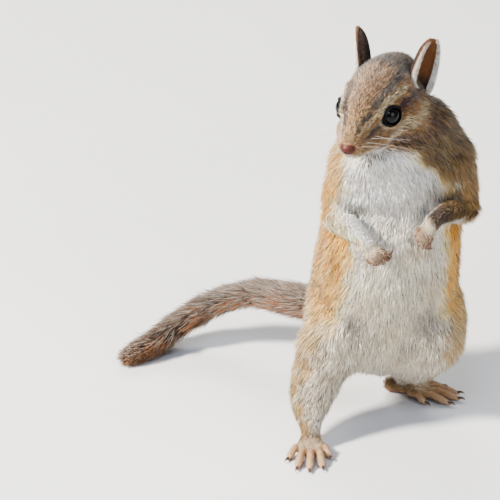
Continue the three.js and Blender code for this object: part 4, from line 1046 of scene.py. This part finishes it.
# ------------------------------------------------------------------ make the skin
V, T = polygonise()
if np.einsum("ij,ij->i", V[T[:, 0]], np.cross(V[T[:, 1]], V[T[:, 2]])).sum() < 0:
    T = T[:, ::-1]
info0 = survey(V)
fine_parts = [CODE[n] for n in ("head", "ear_l", "ear_r", "hand_l", "hand_r", "foot_l", "foot_r")]
keep = np.where(np.isin(info0["part"], fine_parts), 1.0, 0.0)
keep[np.isin(info0["part"], [CODE["forearm_l"], CODE["forearm_r"], CODE["tail"], CODE["throat"]])] = 0.5
V, T = thinned(V, T, keep, 0.36)


def near_face(P):
    q = P - EYE_MID
    s, w, h = q @ HF, np.abs(q @ HL), q @ HU
    eye = np.minimum(np.linalg.norm(P - eye_at(1), axis=1), np.linalg.norm(P - eye_at(-1), axis=1)) < 5.0
    nose = (s > 13.2) & (w < 4) & (h > -8.5) & (h < 0)
    mouth = np.zeros(len(P), bool)
    for side in (1, -1):
        for a, b in zip(MOUTH[:-1], MOUTH[1:]):
            mouth |= segment(P, in_head(a[0], a[1] * side, a[2]), in_head(b[0], b[1] * side, b[2])) < 1.1
    return eye | nose | mouth


V = settle(V, T, 2)
pick = near_face(V[T].mean(1))
V, T = refine(V, T, pick)
V = settle(V, T, 2, 0.3)
pick = near_face(V[T].mean(1)) & (np.linalg.norm(V[T[:, 0]] - V[T[:, 1]], axis=1) > 0.22)
eyeish = np.minimum(np.abs(aperture(V[T].mean(1), 1)[0]) + 9 * (aperture(V[T].mean(1), 1)[1] < 0), np.abs(aperture(V[T].mean(1), -1)[0]) + 9 * (aperture(V[T].mean(1), -1)[1] < 0)) < 0.8
V, T = refine(V, T, pick & (eyeish | ((V[T].mean(1) - EYE_MID) @ HF > 14.3)))
V = settle(V, T, 2, 0.2)
NORMAL = point_normals(V, T)
print("skin", len(V), "points", len(T), "triangles")

info = survey(V)
col, _ = colours(V, NORMAL, info)
nf = nose_field(V)
qv = V - EYE_MID
hs, hw, hh = qv @ HF, qv @ HL, qv @ HU
nose_k = 1 - step(nf, 0.12, 0.55)
bare = np.zeros(len(V))
col = mix(col, srgb(0.31, 0.165, 0.14), nose_k)
pits = np.minimum(*[segment(V, in_head(17.25, 0.62 * sd, -4.15), in_head(16.75, 1.42 * sd, -3.75)) for sd in (1, -1)])
# the nostril pits are painted near-black brown as painted shade
col = mix(col, srgb(0.14, 0.07, 0.06), 1 - step(pits, 0.25, 0.48))
bare = np.maximum(bare, nose_k)
lips = np.full(len(V), 9.0)
for sd in (1, -1):
    for a, b in zip(MOUTH[:-1], MOUTH[1:]):
        lips = np.minimum(lips, segment(V, in_head(a[0], a[1] * sd, a[2]), in_head(b[0], b[1] * sd, b[2])))
col = mix(col, srgb(0.66, 0.45, 0.38), (1 - step(lips, 0.5, 1.0)) * 0.8)
# the groove of the mouth line is painted dark as painted shade
col = mix(col, srgb(0.22, 0.11, 0.09), 1 - step(lips, 0.28, 0.46))
lid = np.zeros(len(V))
for sd in (1, -1):
    ap, ax, rho = aperture(V, sd)
    lid = np.maximum(lid, np.where((ax > 0.0) & (rho < 4.6), 1 - step(ap, 0.45, 0.95), 0))
col = mix(col, srgb(0.016, 0.012, 0.012), lid)
bare = np.maximum(bare, lid)
P_ = info["part"]
for name in ("hand_l", "hand_r", "foot_l", "foot_r"):
    m = P_ == CODE[name]
    digit = np.isin(info["chain"], [i for i, (_, c) in enumerate(FLOW) if c.name == name and len(c.spans) == 3 and c.length < 16 and c.spans[0][0][3] < 1.5])
    m2 = m & digit
    pink = srgb(0.36, 0.25, 0.19) if "hand" in name else srgb(0.70, 0.57, 0.45)
    col[m2] = mix(col[m2], pink, 0.85 * np.ones(m2.sum()))
    if "hand" in name:
        # the palm side, turned in towards the chest, is painted a darker brown as painted shade
        m3 = m & (nf > 0) & (NORMAL[:, 1] < 0.2) & (NORMAL @ unit(np.array(HAND_R[3] if name == "hand_r" else HAND_L[3])) > 0.2)
        col[m3] = mix(col[m3], srgb(0.36, 0.26, 0.21), 0.8 * np.ones(m3.sum()))
    bare[m2] = 0.8
    if "foot" in name:
        sole = m & (NORMAL[:, 2] < -0.3)
        col[sole] = srgb(0.55, 0.40, 0.35)
        bare[sole] = 1
ears_in = np.zeros(len(V), bool)
for name, ear in EARS.items():
    m = P_ == CODE[name]
    ears_in |= m & (NORMAL @ ear.o > 0.1)
bare[ears_in] = np.maximum(bare[ears_in], 0.4)
# under the coat the skin is a shade darker than the hairs
shade = np.where(bare > 0.3, 1.0, np.where(np.isin(P_, fine_parts), 0.80, np.interp(col.mean(1), [0.3, 0.85], [0.60, 0.86])))
skin_mesh = plain_mesh("skin", place(V), T)
paint(skin_mesh, "Col", linear(col * shade[:, None]))
paint(skin_mesh, "Bare", bare)
FLESH = ["forearm_l", "hand_l", "forearm_r", "hand_r", "head", "nose", "neck", "upper_arm_l", "upper_arm_r", "trunk", "thigh_l", "shank_l", "foot_l", "thigh_r", "shank_r", "foot_r", "ear_l", "ear_r", "tail_root", "tail_upper", "tail_lower", "tail_tip"]
piece("skin", skin_mesh, skin_material(), "flank_fur", *FLESH)

# ------------------------------------------------------------------ the coat
tri = V[T]
cross = np.cross(tri[:, 1] - tri[:, 0], tri[:, 2] - tri[:, 0])
area = 0.5 * np.linalg.norm(cross, axis=1)
centre = tri.mean(1)
tinfo = {k: v[T[:, 0]] for k, v in info.items()}
PER_MM2 = {"head": 23.0, "throat": 12.0, "trunk": 10.2, "tail": 22.0, "ear": 26.0, "hand": 16.0, "foot": 15.0, "arm": 11.5, "forearm": 16.0, "thigh": 10.8, "shank": 12.5}


def kind(name):
    return name.split("_")[0]


dens = np.array([PER_MM2[kind(NAMES[p])] for p in range(len(NAMES))])[tinfo["part"]]
q = centre - EYE_MID
on_head = tinfo["part"] == CODE["head"]
dens = dens * np.where(on_head, np.interp(q @ HF, [-20, -8, 4, 14], [0.62, 0.85, 1.25, 1.7]), 1)
tn = unit(cross)
sole = (np.isin(tinfo["part"], [CODE["foot_l"], CODE["foot_r"]]) & (tn[:, 2] < -0.25)) | (centre[:, 2] < 0.35)
dens[sole] = 0
nofur = nose_field(centre) < 0.35
for sd in (1, -1):
    ap, ax, rho = aperture(centre, sd)
    nofur |= (ax > -0.5) & (rho < 4.9) & (ap < 0.62)
for sd in (1, -1):
    for a, b in zip(MOUTH[:-1], MOUTH[1:]):
        nofur |= segment(centre, in_head(a[0], a[1] * sd, a[2]), in_head(b[0], b[1] * sd, b[2])) < 0.42
dens[nofur] = 0
digits = np.isin(tinfo["chain"], [i for i, (_, c) in enumerate(FLOW) if kind(c.name) in ("hand", "foot") and c.spans[0][0][3] < 1.5])
dens[digits] *= 0.35
dens[digits & np.isin(tinfo["part"], [CODE["hand_l"], CODE["hand_r"]])] *= 0.3
for name, ear in EARS.items():
    m = tinfo["part"] == CODE[name]
    o = ear.local(centre)[2]
    dens[m & (tn @ ear.o > 0.3) & (o < -0.8)] *= 0.5
    dens[m & (o > -0.8)] *= 2.2
weight = np.cumsum(area * dens)
N_TUFTS = int(weight[-1])
at = (np.arange(N_TUFTS) + RNG.random(N_TUFTS)) * (weight[-1] / N_TUFTS)
face = np.minimum(np.searchsorted(weight, at), len(T) - 1)
r1, r2 = np.sqrt(RNG.random(N_TUFTS)), RNG.random(N_TUFTS)
bary = np.stack([1 - r1, r1 * (1 - r2), r1 * r2], 1)
R = (tri[face] * bary[:, :, None]).sum(1)
NR = unit((NORMAL[T][face] * bary[:, :, None]).sum(1))
print("tufts", N_TUFTS)
info = survey(R)
part = info["part"]
n = N_TUFTS

lie = info["lie"]
# soft swirls, so that no two places lie quite alike
swirl = np.stack([MIDDLE(R + 31), MIDDLE(R + 57), MIDDLE(R + 83)], 1)
body = ~np.isin(part, fine_parts)
lie = unit(lie) + swirl * np.where(body, 0.22, 0.08)[:, None]
D = unit(lie - NR * (lie * NR).sum(1)[:, None])
S = np.cross(NR, D)
turn = np.radians(RNG.normal(0, 1, n) * np.where(body, 11, 8))
D = D * np.cos(turn)[:, None] + S * np.sin(turn)[:, None]
S = np.cross(NR, D)

depth = info["depth"].copy()
kinds = np.array([kind(nm) for nm in NAMES])[part]
# the coat shortens round the open side of each ear and round the eyes
ear_edge = np.zeros(n, bool)
for name, ear in EARS.items():
    u, t, o = ear.local(R)
    gap = np.linalg.norm((R - ear.c) - np.clip(t, -9.5, 6)[:, None] * ear.t, axis=1) - 3.6
    depth = np.where(part == CODE[name], depth, depth * np.clip(gap / 5.0, 0.32, 1))
    ear_edge |= (part == CODE[name]) & (o > -0.8)
for sd in (1, -1):
    far_eye = np.linalg.norm(R - eye_at(sd), axis=1)
    depth = depth * np.clip((far_eye - 2.6) / 3.2, 0.45, 1)
length = depth * 2.05 + 0.45
length = np.where(kinds == "head", depth * 1.55 + 0.5, length)
length = np.where(kinds == "tail", depth * 2.35, length)
length = np.where(kinds == "ear", np.where(ear_edge, 1.35, 1.0), length)
length = np.where(np.isin(kinds, ["hand", "foot"]), depth * 1.7 + 0.55, length)
width = np.interp(depth, [0.1, 0.6, 1.5, 3.6], [0.10, 0.13, 0.18, 0.28])
width = np.where(kinds == "tail", 0.24, width)
width = np.where(kinds == "ear", 0.11, width)
length *= RNG.uniform(0.72, 1.12, n)
width *= RNG.uniform(0.75, 1.25, n)
lift = depth * RNG.uniform(0.62, 1.02, n) * np.where(kinds == "tail", 0.95, 1.0)
lift = np.where(kinds == "ear", np.where(ear_edge, 0.75, 0.22), lift)
lift = np.minimum(lift, 0.62 * length)
stray = (RNG.random(n) < 0.035) & body
lift = np.where(stray, np.minimum(depth * 1.18, 0.8 * length), lift)

# locks: the tips of near hairs are drawn together
seeds = R[RNG.permutation(n)[: max(10, n // 26)]]
tree = kdtree.KDTree(len(seeds))
for i, p in enumerate(seeds):
    tree.insert(p, i)
tree.balance()
owner = np.fromiter((tree.find(p)[1] for p in R), int, n)
pull = (seeds[owner] - R) * np.where(body, 0.42, 0.30)[:, None] * RNG.uniform(0.3, 1.0, n)[:, None]
pull -= NR * (pull * NR).sum(1)[:, None]
run = np.sqrt(np.maximum(length**2 - lift**2, 0.04))
MIDP = R + D * (0.46 * run)[:, None] + NR * (0.62 * lift)[:, None] + pull * 0.35
TIP = R + D * run[:, None] + NR * lift[:, None] + pull
ROOT = R - NR * 0.18
MIDP[:, 2] = np.maximum(MIDP[:, 2], 0.10)
TIP[:, 2] = np.maximum(TIP[:, 2], 0.06)
ROOT[:, 2] = np.maximum(ROOT[:, 2], 0.05)

# the colour of a hair is that of the place where it shows
col, tick = colours(MIDP * 0.55 + TIP * 0.45, NR, {**info})
lock_tone = np.random.default_rng(8).normal(0, 1, len(seeds))[owner]
tone = RNG.normal(0, 1, n)
darktip = RNG.random(n) < tick
paletip = ~darktip & (RNG.random(n) < tick * 0.9)
bright = 1 + 0.055 * tone + 0.045 * lock_tone
mid_c = np.clip(col * bright[:, None], 0, 1)
lum = col.mean(1)
root_c = mix(mid_c * np.interp(lum, [0.3, 0.85], [0.62, 0.84])[:, None], SLATE, np.where(np.isin(kinds, ["hand", "foot", "ear"]), 0.0, np.interp(lum, [0.4, 0.85], [0.28, 0.08])))
tip_c = np.clip(mid_c * 1.06 + 0.02, 0, 1)
tip_c[darktip] = tip_c[darktip] * 0.22 + srgb(0.10, 0.075, 0.065) * 0.78
mid_c[darktip] = mid_c[darktip] * np.where(kinds == "head", 0.45, 0.60)[darktip, None]
tip_c[paletip] = mix(tip_c[paletip], srgb(0.88, 0.82, 0.70), np.full(paletip.sum(), 0.6))
# the tail: rust at the root, black in the middle, frosted at the tip
m = kinds == "tail"
far = step(info["along"][m], 0.06, 0.16)
pick_t = RNG.random(m.sum())
base = col[m]
up = NR[m, 2]
t_root = mix(base, srgb(0.50, 0.32, 0.17), far * 0.7)
t_mid = np.where((pick_t < 0.52)[:, None], srgb(0.17, 0.13, 0.12), base)
t_tip = np.where((pick_t < 0.42)[:, None], srgb(0.74, 0.69, 0.63), np.where((pick_t < 0.62)[:, None], srgb(0.56, 0.33, 0.16), srgb(0.20, 0.15, 0.12)))
root_c[m] = t_root * 0.8
mid_c[m] = mix(mid_c[m], t_mid, far * 0.9)
tip_c[m] = mix(tip_c[m], t_tip, far * 0.85)

# patches on an unwrap of each part: round it and along it
slots = {}
for i, (_, c) in enumerate(FLOW):
    slots.setdefault(c.name, []).append(i)
slot_no, slot_n = np.zeros(n), np.ones(n)
for name, ids in slots.items():
    for k, i in enumerate(ids):
        mm = info["chain"] == i
        slot_no[mm], slot_n[mm] = k, len(ids)
U = (slot_no + 0.02 + 0.96 * (info["round"] / (2 * math.pi) + 0.5)) / slot_n
W = 0.01 + 0.97 * np.clip(info["along"], 0, 1)
U = np.clip(U, 0.004, 0.996)

roll = np.radians(RNG.uniform(-55, 55, n))
SIDE = S * np.cos(roll)[:, None] + NR * np.sin(roll)[:, None]
UPV = np.cross(D, SIDE) * -1
UPV = np.where(((UPV * NR).sum(1) < 0)[:, None], -UPV, UPV)

FUR = {s: fur_material("fur_" + s) for s in ("crown", "flank", "belly", "paw", "tail")}
FUR["ear"] = fur_material("fur_ear", rough=0.7, sheen=0.15)


def tufts(name, ids, mat, slot):
    k = len(ids)
    half = width[ids, None] * 0.5
    verts = np.stack([ROOT[ids], MIDP[ids] - SIDE[ids] * half, MIDP[ids] + SIDE[ids] * half, MIDP[ids] + UPV[ids] * half * 0.8, TIP[ids]], 1)
    verts[:, :, 2] = np.maximum(verts[:, :, 2], 0.04)
    # r, a, b, c, t: round each end
    f = np.array([[0, 1, 3], [0, 3, 2], [0, 2, 1], [4, 3, 1], [4, 2, 3], [4, 1, 2]])
    faces = (np.arange(k)[:, None, None] * 5 + f[None]).reshape(-1, 3)
    mesh = plain_mesh(name, place(verts.reshape(-1, 3)), faces)
    c = np.stack([root_c[ids], mid_c[ids], mid_c[ids], mid_c[ids], tip_c[ids]], 1)
    paint(mesh, "Col", linear(c.reshape(-1, 3)))
    spot = np.array([[0, -0.5], [-0.5, 0.0], [0.5, 0.0], [0.0, 0.12], [0, 0.5]]) * 0.003
    uv = (np.stack([U[ids], W[ids]], 1)[:, None] + spot[None]).reshape(-1, 2)
    layer = mesh.uv_layers.new(name="OFBake")
    layer.uv.foreach_set("vector", uv[faces.ravel()].astype(np.float32).ravel())
    return piece(name, mesh, mat, slot)


MOST = 32_500
LOOK = {"head": ("crown", "crown_fur"), "throat": ("belly", "belly_fur"), "trunk": ("flank", "flank_fur"), "tail": ("tail", "tail_fur"), "ear": ("ear", "ear_skin"), "hand": ("paw", "paw_fur"), "foot": ("paw", "paw_fur"), "arm": ("flank", "flank_fur"), "forearm": ("paw", "paw_fur"), "thigh": ("flank", "flank_fur"), "shank": ("belly", "belly_fur")}
count = 0
for code, name in enumerate(NAMES):
    ids = np.flatnonzero(part == code)
    if not len(ids):
        continue
    look = LOOK[kind(name)]
    if name == "trunk":
        white = (R[ids, 1] < np.interp(R[ids, 2], TRUNK_T[:, 2], TRUNK_T[:, 1]))
        sets = [("belly", ids[white], ("belly", "belly_fur")), ("back", ids[~white], look)]
    else:
        sets = [(name, ids, look)]
    for label, group, lk in sets:
        group = group[np.argsort(R[group, 2] if kind(name) != "tail" else info["along"][group], kind="stable")]
        parts = max(1, math.ceil(len(group) / MOST))
        for j, some in enumerate(np.array_split(group, parts)):
            tufts(f"coat_{label}" + (f"_{j + 1}" if parts > 1 else ""), some, FUR[lk[0]], lk[1])
            count += len(some) * 6
print("coat", count, "triangles")


# ------------------------------------------------------------------ eyes
def eyeball(name, side):
    axis, slit, up = eye_frame(side)
    rings, seg = 40, 56
    pts, ring, faces = [], [], []
    for i in range(rings + 1):
        th = math.pi * i / rings
        for j in range(seg):
            ph = 2 * math.pi * j / seg
            bulge = 0.03 * math.exp(-((th / 0.9) ** 2))
            r = EYE_R - 0.04 + bulge
            pts.append(eye_at(side) + r * (axis * math.cos(th) + (slit * math.cos(ph) + up * math.sin(ph)) * math.sin(th)))
            ring.append(min(1.0, th / 1.45))
    flip = float(np.dot(np.cross(slit, up), axis)) < 0
    for i in range(rings):
        for j in range(seg):
            a, b = i * seg + j, i * seg + (j + 1) % seg
            c, d = b + seg, a + seg
            for t in ((a, d, c), (a, c, b)):
                faces.append(t[::-1] if flip else t)
    mesh = plain_mesh(name, place(np.array(pts)), np.array(faces))
    paint(mesh, "Ring", np.array(ring))
    mesh.validate()
    return mesh


EYE_MAT = eye_material()
for name, side in (("eye_l", 1), ("eye_r", -1)):
    piece(name + "_ball", eyeball(name + "_ball", side), EYE_MAT, "eye", name)


# ------------------------------------------------------------------ claws and whiskers
def tube(points, radii, seg=6):
    points = np.array(points, float)
    verts, faces = [], []
    prev = None
    for i, p in enumerate(points):
        d = unit(points[min(i + 1, len(points) - 1)] - points[max(i - 1, 0)])
        a = away([0.3, 0.2, 1.0] if prev is None else prev, d)
        prev = a
        b = np.cross(d, a)
        for j in range(seg):
            ph = 2 * math.pi * j / seg
            verts.append(p + radii[i] * (a * math.cos(ph) + b * math.sin(ph)))
    k = len(points)
    for i in range(k - 1):
        for j in range(seg):
            a, b = i * seg + j, i * seg + (j + 1) % seg
            faces += [(a, b, b + seg), (a, b + seg, a + seg)]
    verts += [points[0], points[-1]]
    for j in range(seg):
        faces += [(k * seg, (j + 1) % seg, j), (k * seg + 1, (k - 1) * seg + j, (k - 1) * seg + (j + 1) % seg)]
    return np.array(verts), np.array(faces)


def joined(parts):
    V, F, base = [], [], 0
    for v, f in parts:
        V.append(v)
        F.append(f + base)
        base += len(v)
    return np.concatenate(V), np.concatenate(F)


CLAW = streak_material("claw", (0.035, 0.018, 0.012), (0.11, 0.06, 0.04), 0.32, 900, 0.3)
for label, tips in (("hand_l", FINGER_TIPS_L), ("hand_r", FINGER_TIPS_R)):
    made = []
    for k, e, d, fwd in tips:
        a = e - d * 0.35 + fwd * 0.12
        pts = [a + d * t * 1.9 - fwd * (0.55 * t * t) for t in np.linspace(0, 1, 6)]
        made.append(tube(pts, [0.40, 0.38, 0.32, 0.25, 0.16, 0.06]))
    v, f = joined(made)
    piece("claws_" + label, plain_mesh("claws_" + label, place(v), f), CLAW, "claw")
for label, tips in (("foot_l", TOE_TIPS_L), ("foot_r", TOE_TIPS_R)):
    made = []
    for k, e, d in tips:
        flat = unit(np.array([d[0], d[1], 0]))
        a = e - flat * 0.45 + np.array([0, 0, 0.28])
        pts = [a + flat * t * 2.5 + np.array([0, 0, 0.42 * math.sin(math.pi * 0.8 * t) - 0.62 * t * t]) for t in np.linspace(0, 1, 7)]
        pts = [np.array([p[0], p[1], max(p[2], r + 0.03)]) for p, r in zip(pts, [0.46, 0.45, 0.40, 0.33, 0.25, 0.16, 0.06])]
        made.append(tube(pts, [0.46, 0.45, 0.40, 0.33, 0.25, 0.16, 0.06]))
    v, f = joined(made)
    piece("claws_" + label, plain_mesh("claws_" + label, place(v), f), CLAW, "claw")

WHISKER = streak_material("whisker", (0.30, 0.27, 0.24), (0.66, 0.63, 0.60), 0.4, 600, 0.1)
hair = np.random.default_rng(3)
for label, side in (("whiskers_l", 1), ("whiskers_r", -1)):
    made = []
    spots = [(13.2 - 1.7 * c, -4.7 - 0.9 * r) for r in range(3) for c in range(4)]
    p = np.array([in_head(s, (1.8 + (13.8 - s) * 0.42) * side, h) for s, h in spots])
    for _ in range(6):
        g = gradient(p)
        p = p - g * (skin(p) / np.maximum((g * g).sum(1), 0.2))[:, None] * 0.8
    nrms = unit(gradient(p))
    for (s, h), p0, nrm in zip(spots, p, nrms):
        p0 = p0 - nrm * 0.3
        long_ = hair.uniform(11, 17) * (0.7 if s > 12 else 1.0)
        d = unit(HL * side * 0.95 + HF * hair.uniform(-0.35, 0.25) + HU * hair.uniform(-0.40, 0.22) + nrm * 0.3)
        bend = unit(-HU * 0.8 - HF * 0.6)
        pts = [p0 + d * long_ * t + bend * long_ * 0.20 * t * t for t in np.linspace(0, 1, 10)]
        made.append(tube(pts, np.interp(np.linspace(0, 1, 10), [0, 0.3, 1], [0.045, 0.032, 0.012]), 4))
    v, f = joined(made)
    piece(label, plain_mesh(label, place(v), f), WHISKER, "whisker")

# ------------------------------------------------------------------ floor, light, camera
size = 4.0
floor = bpy.data.objects.new("floor", bpy.data.meshes.new("floor"))
floor.data.from_pydata([(-size, -size, 0), (size, -size, 0), (size, size, 0), (-size, size, 0)], [], [(0, 1, 2, 3)])
floor.data.materials.append(streak_material("floor", (0.60, 0.60, 0.59), (0.64, 0.635, 0.625), 0.85, 6.0))
bpy.context.scene.collection.objects.link(floor)


def area_light(name, loc, target, size, power, colour):
    data = bpy.data.lights.new(name, "AREA")
    data.shape, data.size, data.energy, data.color = "DISK", size, power, colour
    ob = bpy.data.objects.new(name, data)
    ob.location = loc
    from mathutils import Vector

    ob.rotation_euler = (Vector(target) - Vector(loc)).to_track_quat("-Z", "Y").to_euler()
    bpy.context.scene.collection.objects.link(ob)
    return ob


MIDDLE_AT = (0.02, -0.01, 0.07)
area_light("key", (-0.86, -0.42, 0.80), MIDDLE_AT, 0.22, 50.0, (1.0, 0.955, 0.88))
area_light("fill", (0.75, -0.85, 0.50), MIDDLE_AT, 0.8, 5.0, (0.97, 0.98, 1.0))
area_light("sky", (-0.12, -0.72, 0.82), MIDDLE_AT, 0.42, 5.0, (0.62, 0.76, 1.0))
area_light("back", (-0.15, 0.85, 0.70), MIDDLE_AT, 0.5, 8.0, (1.0, 0.98, 0.95))
world = bpy.data.worlds.new("studio")
world.use_nodes = True
world.node_tree.nodes["Background"].inputs["Color"].default_value = (0.90, 0.93, 1.0, 1)
world.node_tree.nodes["Background"].inputs["Strength"].default_value = 0.42
bpy.context.scene.world = world
bpy.context.scene.view_settings.look = "AgX - Medium High Contrast"

cam = bpy.data.cameras.new("camera")
cam.sensor_width = 36.0
cam.lens = 36.0 * (2400.0 / 0.31) / 500.0
cam.clip_start, cam.clip_end = 0.05, 20.0
camera = bpy.data.objects.new("camera", cam)
elev = math.radians(25.0)
target = (SHIFT + np.array([-41.85, 0.0, 58.15])) * MM
camera.location = target + 2.4 * np.array([0.0, -math.cos(elev), math.sin(elev)])
camera.rotation_euler = (math.pi / 2 - elev, 0.0, 0.0)
bpy.context.scene.collection.objects.link(camera)
bpy.context.scene.camera = camera
